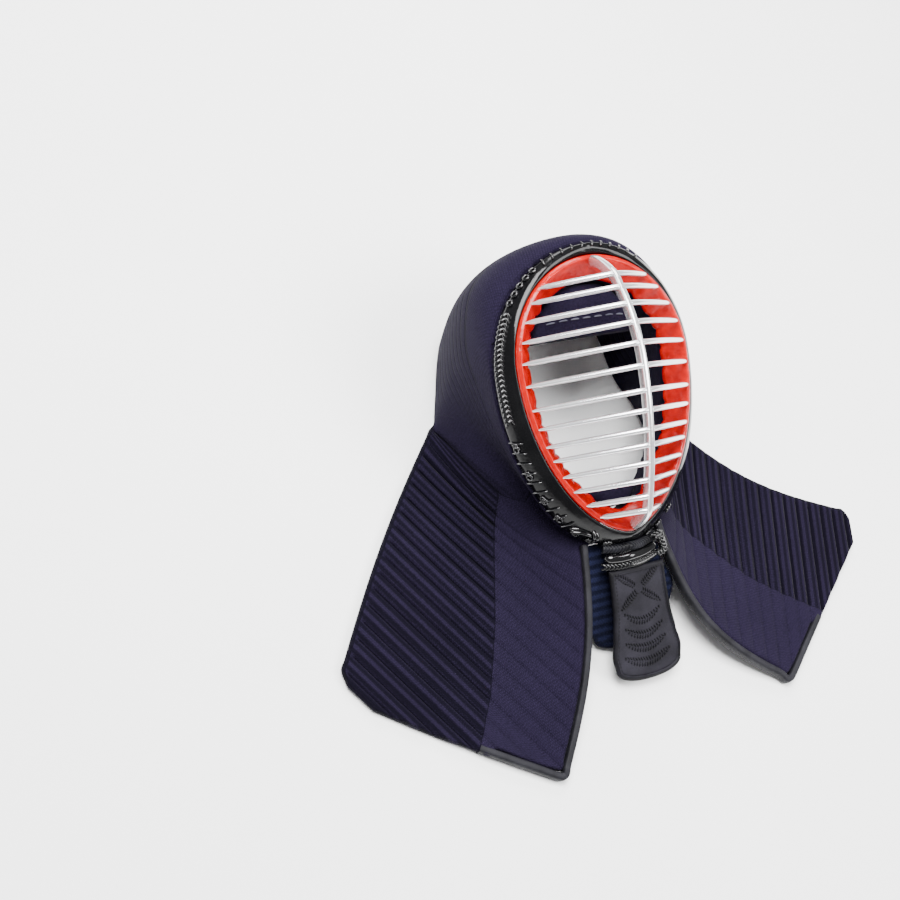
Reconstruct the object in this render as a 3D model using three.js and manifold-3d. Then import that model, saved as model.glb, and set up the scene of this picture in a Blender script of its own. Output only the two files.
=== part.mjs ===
// Kendo men helmet lying on its back: face grille up, quilted flaps spread on the floor.
// Millimetres, +Z up, +Y towards the crown. The origin is on the floor below the face's middle.
import * as THREE from 'three';
import { mergeVertices } from 'three/addons/utils/BufferGeometryUtils.js';
import Module from 'manifold-3d';

const wasm = await Module();
wasm.setup();

// Driving dimensions of the face, in its own plane: x across, u up the face, n forward
const FACE_LEAN = 20;             // degrees between the face's plane and the floor
const FACE_HEIGHT = 130;          // the face's middle above the floor
const RIM_HALF_WIDTH = 84;        // grille rim, outside, at its widest
const RIM_WIDEST = 28;            // where the rim is widest, above the face's middle
const RIM_ABOVE = 89;             // from the widest place to the rim's top
const RIM_BELOW = 145;            // from the widest place to the rim's bottom
const RIM_TAPER = 1.2;            // how the rim narrows to the chin, 1 is an ellipse
const RIM_SLOPE = 0.045;          // the rim's top stands a little forward of its bottom
const RIM_SETBACK = -3;
const RIM_WIDTH = 19;             // across the rim's sloping inner face
const RIM_DEPTH = 14;             // how far the rim's inner edge lies behind its crest
const RIM_WALL = 3.5;
const CREST_INSET = 4;            // from the rim's outer edge to its crest, where the bars end
// Where each of the 14 bars lies, as a share of the rim's height from its top. The gap to look
// through, after the sixth bar, is the widest one.
const BAR_SHARES = [
  0.098, 0.148, 0.2115, 0.2795, 0.3525, 0.4315,
  0.516, 0.584, 0.6495, 0.702, 0.7635, 0.8215, 0.8785, 0.928,
];
const BAR_WIDTH = 4.4;            // a bar's section, up the face
const BAR_DEPTH = 4.8;            // a bar's section, forward
const BAR_BULGE = 54;             // how far the bars stand forward at the middle
const BULGE_CENTRE = 20;          // the bar that stands out most, above the face's middle
const BULGE_ABOVE = 116;          // from there to where the bulge would reach zero, upwards
const BULGE_BELOW = 172;          // and downwards
const BAR_CURVE = 1.25;           // 1 is a straight roof, 2 a parabola
const SPINE_WIDTH = 5;            // the upright bar, across
const SPINE_DEPTH = 10;

// The lacquered frame round the grille
const FRAME_WIDTH = 16;           // at its widest, across
const FRAME_DROP = 30;            // how far its outer edge lies behind the face's plane at most
const FRAME_WALL = 5;
const FRAME_CROWN = 2;            // how much its face is rounded
const SEAM_GAP = 0.4;             // clearance between neighbouring pieces

// The quilted hood: crown, sides and two flaps, one padded sheet
const PAD_THICKNESS = 9;
const HOOD_HALF_WIDTH = 98;       // outside, on the floor, at the temples
const HOOD_GAP = 1.3;             // from the frame's outer edge to the hood's front edge
const CROWN_REACH = 152;          // the crown's rear edge from the origin, on the floor
const HEM_LEAN = 20;              // the crown's hem lies to one side of the face
const CROWN_LEAN = -20;           // and the crown above it leans the other way
const CROWN_BULGE = 1.5;          // how far the crown's wall bulges out above its hem
const NECK_REACH = 52;            // where the flap's rear edge leaves the side
const NECK_HALF_WIDTH = 106;
const CHIN_STATION = 155;         // degrees round the frame from its top to the flap's front edge
const FLAP_FRONT = 194;           // length of the flap's front edge
const FLAP_BOTTOM = 186;          // length of its bottom edge, up to the cut corner
const FLAP_CUT = 28;              // length of the cut corner
const FLAP_CORNER = 14;           // rounding of the front corner
const FLOOR_SNAP = 0.8;           // the underside lies on the floor where it is this close
const RIB_COUNT = 17;
const RIB_RELIEF = 2.2;           // depth of the channels between the ribs
const BINDING_WIDTH = 6;          // leather along the flap's front edge and round its corner
const BINDING_STEP = 80;          // where it ends along the bottom edge
const BINDING_PROUD = 0.5;

// Pads behind the grille
const CUSHION_WIDTH = 15;
const CUSHION_DEPTH = 30;
const CUSHION_TOP = -12;          // its front edge, behind the face's plane
const CUSHION_FALL = 6.2;         // how much lower its top is on the inside, along the rim
const FOREHEAD_PAD_EDGE = 52;     // lower edge of the forehead pad, above the face's middle
const CHIN_PAD_EDGE = -76;        // upper edge of the chin pad
const PAD_DEPTH = 18;

// Throat guards and the chin's roll and braids
const GUARD_WIDTH = 70;
const GUARD_LENGTH = 99;
const GUARD_WALL = 5;
const GUARD_SHIFT = 8;            // it lies a little to one side
const INNER_GUARD_WIDTH = 104;
const INNER_GUARD_SHIFT = 7;      // and the inner guard a little to the other side of it
const INNER_GUARD_LENGTH = 96;
const INNER_GUARD_TUCK = 25;      // its top reaches this far back under the frame's chin
const INNER_GUARD_RISE = 2;
const INNER_GUARD_WALL = 6;
const CHIN_CORD_RADIUS = 4.2;
const ROLL_RADIUS = 4.2;
const BRAID_RADIUS = 2.6;

// Round the frame, by degrees from its top: its width and how far back its outer edge lies,
// as shares of the frame's width and drop
const FRAME_TABLE = [
  { at: 0, width: 0.625, edge: 0.067 },
  { at: 45, width: 0.69, edge: -0.333 },
  { at: 90, width: 0.75, edge: -0.667 },
  { at: 135, width: 1, edge: -0.9 },
  { at: 155, width: 1, edge: -1 },
  { at: 170, width: 0.69, edge: -0.767 },
  { at: 180, width: 0.5, edge: -0.6 },
];

// The hood's outer edge on the floor, by degrees round the frame, as shares of the half width
// and of the crown's reach
const CROWN_TABLE = [
  { at: 0, across: 0, along: 1 },
  { at: 25, across: 0.5, along: 0.985 },
  { at: 50, across: 0.83, along: 0.89 },
  { at: 70, across: 0.94, along: 0.73 },
  { at: 90, across: 0.99, along: 0.56 },
  { at: 120, across: 1.03, along: 0.42 },
];

// How each flap lies: angles in degrees, bows as shares of the edge's length, outwards
const FLAPS = [
  { side: -1, front: 17, bottom: 35.5, cut: 18, rib: 32,
    frontBow: 0.07, rearBow: 0.022, bottomBow: 0.012 },
  { side: 1, front: 32, bottom: 39.5, cut: 4, rib: 17.5,
    frontBow: 0.14, rearBow: -0.105, bottomBow: 0 },
];

const rad = THREE.MathUtils.degToRad;
const lerp = THREE.MathUtils.lerp;
const group = new THREE.Group();
const leanSin = Math.sin(rad(FACE_LEAN));
const leanCos = Math.cos(rad(FACE_LEAN));
const FORWARD = new THREE.Vector3(0, -leanSin, leanCos);
const UP_FACE = new THREE.Vector3(0, leanCos, leanSin);
const ACROSS = new THREE.Vector3(1, 0, 0);

function facePoint(x, u, n) {
  return new THREE.Vector3(0, 0, FACE_HEIGHT)
    .addScaledVector(ACROSS, x).addScaledVector(UP_FACE, u).addScaledVector(FORWARD, n);
}

// A value between the rows of a table, by its 'at' column
function tableValue(table, at, key) {
  const last = table[table.length - 1];
  if (at >= last.at) return last[key];
  const k = table.findIndex((row, i) => at <= table[i + 1].at);
  const a = table[k];
  const b = table[k + 1];
  const s = (at - a.at) / (b.at - a.at);
  const before = table[Math.max(0, k - 1)];
  const after = table[Math.min(table.length - 1, k + 2)];
  const slopeA = (b[key] - before[key]) / Math.max(b.at - before.at, 1) * (b.at - a.at);
  const slopeB = (after[key] - a[key]) / Math.max(after.at - a.at, 1) * (b.at - a.at);
  const s2 = s * s;
  const s3 = s2 * s;
  return (2 * s3 - 3 * s2 + 1) * a[key] + (s3 - 2 * s2 + s) * slopeA
    + (3 * s2 - 2 * s3) * b[key] + (s3 - s2) * slopeB;
}

// The rim's outer edge in the face's plane, by degrees from its top, clockwise from the front
function rimPlace(degrees) {
  const a = rad(degrees);
  const lower = Math.cos(a) < 0;
  const s = Math.sin(a);
  const x = RIM_HALF_WIDTH * (lower ? Math.sign(s) * Math.abs(s) ** RIM_TAPER : s);
  return new THREE.Vector2(x, RIM_WIDEST + (lower ? RIM_BELOW : RIM_ABOVE) * Math.cos(a));
}

function rimOutward(degrees) {
  const step = 1;
  const t = rimPlace(degrees + step).sub(rimPlace(degrees - step)).normalize();
  return new THREE.Vector2(-t.y, t.x);
}

// A point at a distance outward of the rim's outer edge, at depth n
function roundFace(degrees, outward, n) {
  const p = rimPlace(degrees).addScaledVector(rimOutward(degrees), outward);
  return facePoint(p.x, p.y, n);
}

const rimDepth = (u) => RIM_SETBACK + RIM_SLOPE * u;
const frameWidth = (degrees) => FRAME_WIDTH * tableValue(FRAME_TABLE, Math.abs(degrees), 'width');
const frameEdge = (degrees) => FRAME_DROP * tableValue(FRAME_TABLE, Math.abs(degrees), 'edge');

// A closed body through like sections; open ends are closed by pairing each section's points
function loft(sections, closed = false) {
  const m = sections[0].length;
  const position = sections.flat().flatMap((p) => [p.x, p.y, p.z]);
  const index = [];
  const rings = sections.length - (closed ? 0 : 1);
  for (let i = 0; i < rings; i++) {
    const a = i * m;
    const b = ((i + 1) % sections.length) * m;
    for (let k = 0; k < m; k++) {
      const l = (k + 1) % m;
      index.push(a + k, b + k, b + l, a + k, b + l, a + l);
    }
  }
  if (!closed) {
    const end = (sections.length - 1) * m;
    for (let k = 0; k < m / 2 - 1; k++) {
      const r = m - 1 - k;
      index.push(k, k + 1, r - 1, k, r - 1, r);
      index.push(end + k, end + r - 1, end + k + 1, end + k, end + r, end + r - 1);
    }
  }
  return outwardGeometry(position, index);
}

function outwardGeometry(position, index) {
  const v = (i) => new THREE.Vector3().fromArray(position, 3 * i);
  let volume = 0;
  for (let i = 0; i < index.length; i += 3) {
    volume += v(index[i]).dot(v(index[i + 1]).cross(v(index[i + 2])));
  }
  if (volume < 0) index.reverse();
  const geometry = new THREE.BufferGeometry();
  geometry.setAttribute('position', new THREE.Float32BufferAttribute(position, 3));
  geometry.setIndex(index);
  return geometry;
}

function solidOf(geometry) {
  const bare = geometry.clone();
  bare.deleteAttribute('normal');
  bare.deleteAttribute('uv');
  const g = mergeVertices(bare, 1e-4);
  return new wasm.Manifold(new wasm.Mesh({
    numProp: 3,
    vertProperties: new Float32Array(g.attributes.position.array),
    triVerts: new Uint32Array(g.index.array),
  }));
}

function geometryOf(solid) {
  const mesh = solid.getMesh();
  const geometry = new THREE.BufferGeometry();
  geometry.setAttribute('position', new THREE.BufferAttribute(new Float32Array(mesh.vertProperties), 3));
  geometry.setIndex(new THREE.BufferAttribute(new Uint32Array(mesh.triVerts), 1));
  return geometry;
}

function addPart(name, geometry, color, roughness, metalness) {
  const material = new THREE.MeshStandardMaterial({ color, roughness, metalness });
  const mesh = new THREE.Mesh(geometry, material);
  mesh.name = name;
  group.add(mesh);
}

const NAVY = 0x2b2547;
const LEATHER = 0x34303e;
const BLACK = 0x0b0b0d;
const INDIGO = 0x24304e;

// Sections of a rod along points; its first half width lies along 'side' at each point
function rodSections(points, sides, half, side) {
  return points.map((p, i) => {
    const before = points[Math.max(0, i - 1)];
    const after = points[Math.min(points.length - 1, i + 1)];
    const tangent = after.clone().sub(before).normalize();
    const a = side.clone().addScaledVector(tangent, -side.dot(tangent)).normalize();
    const b = new THREE.Vector3().crossVectors(tangent, a);
    return Array.from({ length: sides }, (_, k) => {
      const w = (k + 0.5) / sides * 2 * Math.PI;
      return p.clone().addScaledVector(a, half.x * Math.cos(w)).addScaledVector(b, half.y * Math.sin(w));
    });
  });
}

// Face grille: rim, bars and the upright bar, soldered together
const barStations = BAR_SHARES.map((share) =>
  RIM_WIDEST + RIM_ABOVE - (RIM_ABOVE + RIM_BELOW) * share);

function rimHalfWidthAt(u) {
  const lower = u < RIM_WIDEST;
  const c = Math.min(1, Math.abs(u - RIM_WIDEST) / (lower ? RIM_BELOW : RIM_ABOVE));
  return RIM_HALF_WIDTH * Math.sqrt(1 - c * c) ** (lower ? RIM_TAPER : 1);
}

function bulgeAt(u) {
  const reach = u > BULGE_CENTRE ? BULGE_ABOVE : BULGE_BELOW;
  return BAR_BULGE * (1 - ((u - BULGE_CENTRE) / reach) ** 2);
}

function rimSection(degrees) {
  const n = rimDepth(rimPlace(degrees).y);
  const at = (outward, depth) => roundFace(degrees, outward, n - depth);
  return [
    at(0, 2), at(-CREST_INSET, 0), at(-RIM_WIDTH, RIM_DEPTH),
    at(-RIM_WIDTH, RIM_DEPTH + RIM_WALL), at(-CREST_INSET - 1, RIM_WALL + 3), at(0, RIM_WALL + 3),
  ];
}

function barPoints(u) {
  const half = rimHalfWidthAt(u) - CREST_INSET;
  const steps = [-1, -0.74, -0.48, -0.22, 0, 0.22, 0.48, 0.74, 1];
  return steps.map((s) => facePoint(half * s, u,
    rimDepth(u) - 1 + bulgeAt(u) * (1 - Math.abs(s) ** BAR_CURVE)));
}

function spinePoints() {
  const top = RIM_WIDEST + RIM_ABOVE - CREST_INSET - 1;
  const bottom = RIM_WIDEST - RIM_BELOW + CREST_INSET + 1;
  const inner = SPINE_DEPTH / 2 - 1.5;
  const apex = barStations.map((u) => facePoint(0, u, rimDepth(u) + bulgeAt(u) - inner));
  const near = (u, share) => facePoint(0, u, rimDepth(u) + share * BAR_BULGE - inner);
  return [near(top, 0.02), near(top - 5, 0.27), ...apex, near(bottom + 4, 0.3), near(bottom, 0.02)];
}

const RIM_STATIONS = 52;
const roundStations = Array.from({ length: RIM_STATIONS }, (_, k) => k * 360 / RIM_STATIONS - 180);
let grille = solidOf(loft(roundStations.map(rimSection), true));
const barHalf = new THREE.Vector2(BAR_WIDTH / 2, BAR_DEPTH / 2);
for (const u of barStations) {
  grille = grille.add(solidOf(loft(rodSections(barPoints(u), 6, barHalf, UP_FACE))));
}
const spineHalf = new THREE.Vector2(SPINE_WIDTH / 2, SPINE_DEPTH / 2).multiplyScalar(Math.SQRT2);
grille = grille.add(solidOf(loft(rodSections(spinePoints(), 4, spineHalf, ACROSS))));
addPart('face_grille', geometryOf(grille), 0xd8d8dc, 0.25, 0.9);

// Lacquered frame: a sloping band round the grille, down to the hood's edge; 'grow' is clearance
function frameSection(degrees, grow) {
  const n = rimDepth(rimPlace(degrees).y) - 3;
  const width = frameWidth(degrees);
  const edge = frameEdge(degrees);
  const at = (outward, depth) => roundFace(degrees, outward, depth);
  const middle = (n + edge) / 2;
  return [
    at(SEAM_GAP - grow, n + grow), at(width / 2, middle + FRAME_CROWN + grow), at(width + grow, edge + grow),
    at(width + grow, edge - FRAME_WALL - 3 * grow), at(width / 2, middle - FRAME_WALL - grow),
    at(SEAM_GAP - grow, n - FRAME_WALL - grow),
  ];
}
const frameLoft = (grow) => loft(roundStations.map((degrees) => frameSection(degrees, grow)), true);
addPart('face_frame', frameLoft(0), BLACK, 0.15, 0.1);

// Quilted hood: rows of the sheet run from its rear edge to its front edge, over the left flap,
// the left side, the crown, the right side and the right flap
const COLUMNS = 10;

// The hood's front edge, tucked below the frame's outer edge: deepest where the side is upright
function hoodFront(degrees) {
  const tuck = lerp(1.5, FRAME_WALL + SEAM_GAP, Math.min(1, Math.abs(degrees) / 80));
  return roundFace(degrees, frameWidth(degrees) + HOOD_GAP, frameEdge(degrees) - tuck);
}

function headRow(degrees) {
  const at = Math.abs(degrees);
  const side = Math.sign(degrees) || 1;
  const front = hoodFront(degrees);
  const last = CROWN_TABLE[CROWN_TABLE.length - 1].at;
  const share = THREE.MathUtils.clamp((at - last) / (CHIN_STATION - last), 0, 1);
  const across = HOOD_HALF_WIDTH * tableValue(CROWN_TABLE, at, 'across');
  const along = CROWN_REACH * tableValue(CROWN_TABLE, at, 'along');
  const crownness = Math.max(0, along / CROWN_REACH - 0.4) / 0.6;
  const rear = new THREE.Vector3(
    side * lerp(across, NECK_HALF_WIDTH, share) + HEM_LEAN * crownness, lerp(along, NECK_REACH, share), 0);
  const outwards = new THREE.Vector3(side * across, along, 0).normalize().multiplyScalar(CROWN_BULGE);
  outwards.x += CROWN_LEAN;
  return Array.from({ length: COLUMNS + 1 }, (_, k) => {
    const w = k / COLUMNS * Math.PI / 2;
    const inward = (1 - Math.cos(w)) ** 1.3;
    const p = rear.clone().lerp(front, inward).addScaledVector(outwards, crownness * Math.sin(2 * w));
    p.z = front.z * Math.sin(w);
    return p;
  });
}

// An edge of the flap in plan, from a to b, bowed outwards by a share of its length
function bowedEdge(a, b, bow, steps, outward) {
  const chord = b.clone().sub(a);
  const normal = new THREE.Vector2(chord.y, -chord.x).normalize();
  if (normal.dot(outward) < 0) normal.negate();
  return Array.from({ length: steps + 1 }, (_, k) => {
    const s = k / steps;
    const swell = bow * chord.length() * Math.sin(Math.PI * s);
    return a.clone().addScaledVector(chord, s).addScaledVector(normal, swell);
  });
}

// Where a chain of plan points crosses a rib line, which lies at 'offset' along the rib's normal
function crossing(chain, normal, offset) {
  for (let i = 1; i < chain.length; i++) {
    const a = chain[i - 1].dot(normal);
    const b = chain[i].dot(normal);
    if (offset <= b || i === chain.length - 1) {
      const s = THREE.MathUtils.clamp((offset - a) / (b - a), 0, 1);
      return chain[i - 1].clone().lerp(chain[i], s);
    }
  }
  return chain[chain.length - 1].clone();
}

// A chain moved inwards by a distance, as far as its last point allows
function insetChain(chain, distance, toward) {
  return chain.map((p, i) => {
    const t = chain[Math.min(i + 1, chain.length - 1)].clone().sub(chain[Math.max(i - 1, 0)]).normalize();
    const n = new THREE.Vector2(-t.y, t.x);
    if (n.dot(toward.clone().sub(p)) < 0) n.negate();
    return p.clone().addScaledVector(n, distance);
  });
}

// The flap's outline in plan, with x counted outwards: front, rear and bound chains of edges
function flapOutline(flap) {
  const chin = hoodFront(CHIN_STATION);
  const start = new THREE.Vector2(chin.x, chin.y);
  const bearing = (from, x, y, length) => from.clone().add(
    new THREE.Vector2(x, y).normalize().multiplyScalar(length));
  const a = rad(flap.front);
  const b = rad(flap.bottom);
  const c = rad(flap.cut);
  const corner = bearing(start, Math.sin(a), -Math.cos(a), FLAP_FRONT);
  const cutStart = bearing(corner, Math.cos(b), Math.sin(b), FLAP_BOTTOM);
  const cutEnd = bearing(cutStart, Math.sin(c), Math.cos(c), FLAP_CUT);
  const neck = new THREE.Vector2(NECK_HALF_WIDTH, NECK_REACH);
  const before = bearing(corner, -Math.sin(a), Math.cos(a), FLAP_CORNER);
  const after = bearing(corner, Math.cos(b), Math.sin(b), FLAP_CORNER);
  const rounding = new THREE.QuadraticBezierCurve(before, corner, after).getPoints(4);
  const bottom = bowedEdge(after, cutStart, flap.bottomBow, 10, new THREE.Vector2(0, -1));
  const step = Math.round(10 * (BINDING_STEP - FLAP_CORNER) / (FLAP_BOTTOM - FLAP_CORNER));
  const frontEdge = bowedEdge(start, before, flap.frontBow, 12, new THREE.Vector2(-1, 0));
  const bound = [...frontEdge.slice(0, -1), ...rounding.slice(0, -1), ...bottom.slice(0, step + 1)];
  const middle = neck.clone().lerp(corner, 0.5);
  const front = [...bound, ...bottom.slice(step + 1)];
  const rear = [...bowedEdge(neck, cutEnd, flap.rearBow, 12, new THREE.Vector2(1, 1)), cutStart];
  return { front, rear, bound, chin, middle };
}

// How far the flap's front edge stands above its flat part, at a plan point of that edge
function flapRise(chin, p) {
  const down = Math.hypot(p.x - chin.x, p.y - chin.y) / FLAP_FRONT;
  return (chin.z - PAD_THICKNESS) * THREE.MathUtils.clamp(1 - down, 0, 1);
}

// Rows of a flap from the line between neck and chin to its far end
function flapRows(flap) {
  const { front, rear, chin } = flapOutline(flap);
  const a = rad(flap.rib);
  const normal = new THREE.Vector2(Math.cos(a), -Math.sin(a));
  const end = front[front.length - 1].dot(normal) - 4;
  const fromFront = front[0].dot(normal);
  const fromRear = rear[0].dot(normal);
  const rows = [];
  for (let k = 1; k <= 2 * RIB_COUNT; k++) {
    const s = k / (2 * RIB_COUNT);
    const f = crossing(front, normal, lerp(fromFront, end, s));
    const r = crossing(rear, normal, lerp(fromRear, end, s));
    const rise = flapRise(chin, f);
    const fold = 0.15 * Math.max(0, 1 - s * 4) ** 2;
    const chord = f.clone().sub(r);
    const out = new THREE.Vector2(-chord.y, chord.x);
    if (out.x < 0) out.negate();
    rows.push(Array.from({ length: COLUMNS + 1 }, (_, j) => {
      const c = j / COLUMNS;
      const swell = fold * Math.sin(Math.PI * c ** 1.2);
      const p = r.clone().addScaledVector(chord, c).addScaledVector(out, swell);
      return new THREE.Vector3(flap.side * p.x, p.y, PAD_THICKNESS + rise * c ** 1.5);
    }));
  }
  return rows;
}

const headStations = [];
for (let at = -CHIN_STATION; at <= CHIN_STATION + 1e-6; at += CHIN_STATION / 12) headStations.push(at);
const leftRows = flapRows(FLAPS[0]).reverse();
const rightRows = flapRows(FLAPS[1]);
const hoodRows = [...leftRows, ...headStations.map(headRow), ...rightRows];
const firstHead = leftRows.length;
const lastHead = firstHead + headStations.length - 1;

// Smooths the crease between flap and side along the strip, keeping the front and rear edges
function smoothRows(rows, passes) {
  for (let pass = 0; pass < passes; pass++) {
    const next = rows.map((row) => row.map((p) => p.clone()));
    for (let i = 1; i < rows.length - 1; i++) {
      const near = Math.min(Math.abs(i - firstHead), Math.abs(i - lastHead));
      if (near > 4) continue;
      for (let j = 0; j < COLUMNS - 1; j++) {
        const share = j === 0 ? 0.25 : 0.5 * (1 - (j / COLUMNS) ** 2);
        next[i][j].lerp(rows[i - 1][j].clone().add(rows[i + 1][j]).multiplyScalar(0.5), share);
      }
    }
    rows = next;
  }
  return rows;
}

const hoodBase = smoothRows(hoodRows, 3);

function hoodNormal(i, j) {
  const rows = hoodBase;
  const along = rows[Math.min(i + 1, rows.length - 1)][j].clone().sub(rows[Math.max(i - 1, 0)][j]);
  const over = rows[i][Math.min(j + 1, COLUMNS)].clone().sub(rows[i][Math.max(j - 1, 0)]);
  return over.cross(along).normalize();
}

function hoodSection(i) {
  const fromHead = i < firstHead ? firstHead - i : i - lastHead;
  const channel = fromHead > 0 && fromHead % 2 === 1 ? RIB_RELIEF : 0;
  const outer = [];
  const inner = [];
  for (let j = 0; j <= COLUMNS; j++) {
    const p = hoodBase[i][j];
    const n = hoodNormal(i, j);
    const flatAt = fromHead > 0 && j > 0 && j < 7 ? channel : 0;
    const top = p.clone().addScaledVector(n, -flatAt);
    const under = p.clone().addScaledVector(n, -PAD_THICKNESS);
    top.z = Math.max(0, top.z);
    under.z = under.z < FLOOR_SNAP ? 0 : under.z;
    outer.push(top);
    inner.push(under);
  }
  return [...outer, ...inner.reverse()];
}

// Upright sections along the bound edge, from 'outer' to 'inner' within it, both ends trimmed
function bindingSections(flap, outer, inner, above, below, trim) {
  const { bound, chin, middle } = flapOutline(flap);
  const outside = insetChain(bound, outer, middle);
  const inside = insetChain(bound, inner, middle);
  const last = bound.length - 1;
  for (const chain of [outside, inside]) {
    chain[1].addScaledVector(chain[2].clone().sub(chain[1]).normalize(), trim);
    chain[last].addScaledVector(chain[last - 1].clone().sub(chain[last]).normalize(), trim);
  }
  return bound.slice(1).map((p, k) => {
    const top = PAD_THICKNESS + BINDING_PROUD + flapRise(chin, p) + above;
    const under = Math.max(0, top - PAD_THICKNESS - BINDING_PROUD) - below;
    const at = (v, z) => new THREE.Vector3(flap.side * v.x, v.y, z);
    const a = outside[k + 1];
    const b = inside[k + 1];
    return [at(a, top - 1), at(a, under), at(b, under), at(b, top)];
  });
}

// The hood leaves room for the frame and for the leather binding of both flaps
let hood = solidOf(loft(hoodBase.map((_, i) => hoodSection(i)))).subtract(solidOf(frameLoft(SEAM_GAP)));
for (const flap of FLAPS) {
  const room = bindingSections(flap, -2 * BINDING_WIDTH, BINDING_WIDTH + SEAM_GAP,
    3 * PAD_THICKNESS, 6 * PAD_THICKNESS, 0);
  hood = hood.subtract(solidOf(loft(room)));
}
hood = hood.decompose().sort((a, b) => b.volume() - a.volume())[0];
addPart('quilted_hood', geometryOf(hood), NAVY, 0.9, 0);
for (const flap of FLAPS) {
  const name = flap.side < 0 ? 'flap_binding_left' : 'flap_binding_right';
  addPart(name, loft(bindingSections(flap, 0, BINDING_WIDTH, 0, 0, SEAM_GAP)), LEATHER, 0.6, 0);
}

// Padded ring that the face rests in, with its forehead and chin pads
function cushionSection(degrees) {
  const at = (outward, n) => roundFace(degrees, outward, n + RIM_SLOPE * rimPlace(degrees).y);
  const inner = CUSHION_TOP - CUSHION_FALL;
  const back = inner - CUSHION_DEPTH;
  return [
    at(-2, CUSHION_TOP), at(-CUSHION_WIDTH, inner), at(-CUSHION_WIDTH - 2, inner - 8),
    at(-CUSHION_WIDTH, back), at(-9, back), at(-6, inner - 16),
  ];
}
const cushionStations = Array.from({ length: 36 }, (_, k) => k * 10 - 180);
addPart('face_cushion', loft(cushionStations.map(cushionSection), true), NAVY, 0.9, 0);

// A pad across the top or bottom of the ring: columns from its outer arc to its inner edge
function padSections(edge, sign) {
  const inset = CUSHION_WIDTH + (sign > 0 ? 6 : 4);
  const span = 9;
  return Array.from({ length: span }, (_, k) => {
    const reach = sign > 0 ? RIM_WIDEST + RIM_ABOVE - inset : RIM_WIDEST - RIM_BELOW + inset + 3;
    const u = lerp(edge, reach, k / (span - 1));
    const half = Math.max(rimHalfWidthAt(u + sign * 8) - inset - (sign > 0 ? 2 : 0), 6);
    const n = CUSHION_TOP - CUSHION_FALL - 7 + RIM_SLOPE * u;
    const round = 3 * Math.sin(Math.PI * k / (span - 1));
    return [
      facePoint(-half, u, n - 2), facePoint(-half * 0.5, u, n + round),
      facePoint(half * 0.5, u, n + round),
      facePoint(half, u, n - 2), facePoint(half, u, n - PAD_DEPTH),
      facePoint(half * 0.5, u, n - PAD_DEPTH - 2),
      facePoint(-half * 0.5, u, n - PAD_DEPTH - 2), facePoint(-half, u, n - PAD_DEPTH),
    ];
  });
}
addPart('forehead_pad', loft(padSections(FOREHEAD_PAD_EDGE, 1)), NAVY, 0.9, 0);
addPart('chin_pad', loft(padSections(CHIN_PAD_EDGE, -1)), NAVY, 0.9, 0);

// Woven cord, roll and braid under the chin, one below the other: degrees round the frame
// that each spans to either side
const CHIN_ROWS = [
  { name: 'chin_cord', radius: CHIN_CORD_RADIUS, left: 14, right: 19 },
  { name: 'chin_roll', radius: ROLL_RADIUS, left: 12, right: 17 },
  { name: 'chin_braid', radius: BRAID_RADIUS, left: 12, right: 17 },
];
const STACK_LEAN = rad(14);       // the stack leans back from the face's plane
let stacked = SEAM_GAP;
for (const row of CHIN_ROWS) {
  const outward = (stacked + row.radius) * Math.cos(STACK_LEAN);
  const depth = (stacked + row.radius) * Math.sin(STACK_LEAN);
  const arc = Array.from({ length: 9 }, (_, k) => {
    const round = 180 + lerp(row.left, -row.right, k / 8);
    const degrees = round > 180 ? round - 360 : round;
    return roundFace(degrees, frameWidth(degrees) + outward, frameEdge(degrees) - depth);
  });
  const half = new THREE.Vector2(row.radius, row.radius);
  addPart(row.name, loft(rodSections(arc, 8, half, FORWARD)), BLACK, 0.2, 0);
  stacked += 2 * row.radius + SEAM_GAP;
}

// A shield in rows down its length: shares of length and of half width
const GUARD_TABLE = [
  { at: 0, half: 0.8 }, { at: 0.2, half: 0.8 }, { at: 0.4, half: 0.83 }, { at: 0.6, half: 0.91 },
  { at: 0.76, half: 1 }, { at: 0.88, half: 0.95 }, { at: 0.95, half: 0.76 }, { at: 0.985, half: 0.5 },
  { at: 1, half: 0.25 },
];
const INNER_GUARD_TABLE = [
  { at: 0, half: 0.6 }, { at: 0.22, half: 0.72 }, { at: 0.5, half: 1 }, { at: 0.75, half: 0.86 },
  { at: 0.9, half: 0.58 }, { at: 1, half: 0.3 },
];
function shieldSections(table, top, tip, width, wall) {
  const along = tip.clone().sub(top);
  const down = new THREE.Vector3().crossVectors(along, ACROSS).normalize();
  if (down.z > 0) down.negate();
  return table.map(({ at, half }) => {
    const centre = top.clone().addScaledVector(along, at);
    const w = half * width / 2;
    const place = (x, d) => centre.clone().addScaledVector(ACROSS, x).addScaledVector(down, d);
    return [
      place(-w, 1.2), place(-w * 0.6, 0), place(w * 0.6, 0), place(w, 1.2),
      place(w, wall - 1), place(w * 0.6, wall), place(-w * 0.6, wall), place(-w, wall - 1),
    ];
  });
}
const stackEnd = roundFace(180, frameWidth(180) + stacked * Math.cos(STACK_LEAN),
  frameEdge(180) - stacked * Math.sin(STACK_LEAN));
const guardTop = new THREE.Vector3(GUARD_SHIFT, stackEnd.y, stackEnd.z - 2);
const guardDrop = guardTop.z - INNER_GUARD_WALL - GUARD_WALL - 2;
const guardRun = Math.sqrt(GUARD_LENGTH ** 2 - guardDrop ** 2);
const guardTip = guardTop.clone().add(new THREE.Vector3(0, -guardRun, -guardDrop));
addPart('throat_guard', loft(shieldSections(GUARD_TABLE, guardTop, guardTip, GUARD_WIDTH, GUARD_WALL)),
  LEATHER, 0.7, 0);
const innerTop = guardTop.clone()
  .add(new THREE.Vector3(-INNER_GUARD_SHIFT, INNER_GUARD_TUCK, INNER_GUARD_RISE));
const innerDrop = innerTop.z - INNER_GUARD_WALL - 1;
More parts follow.
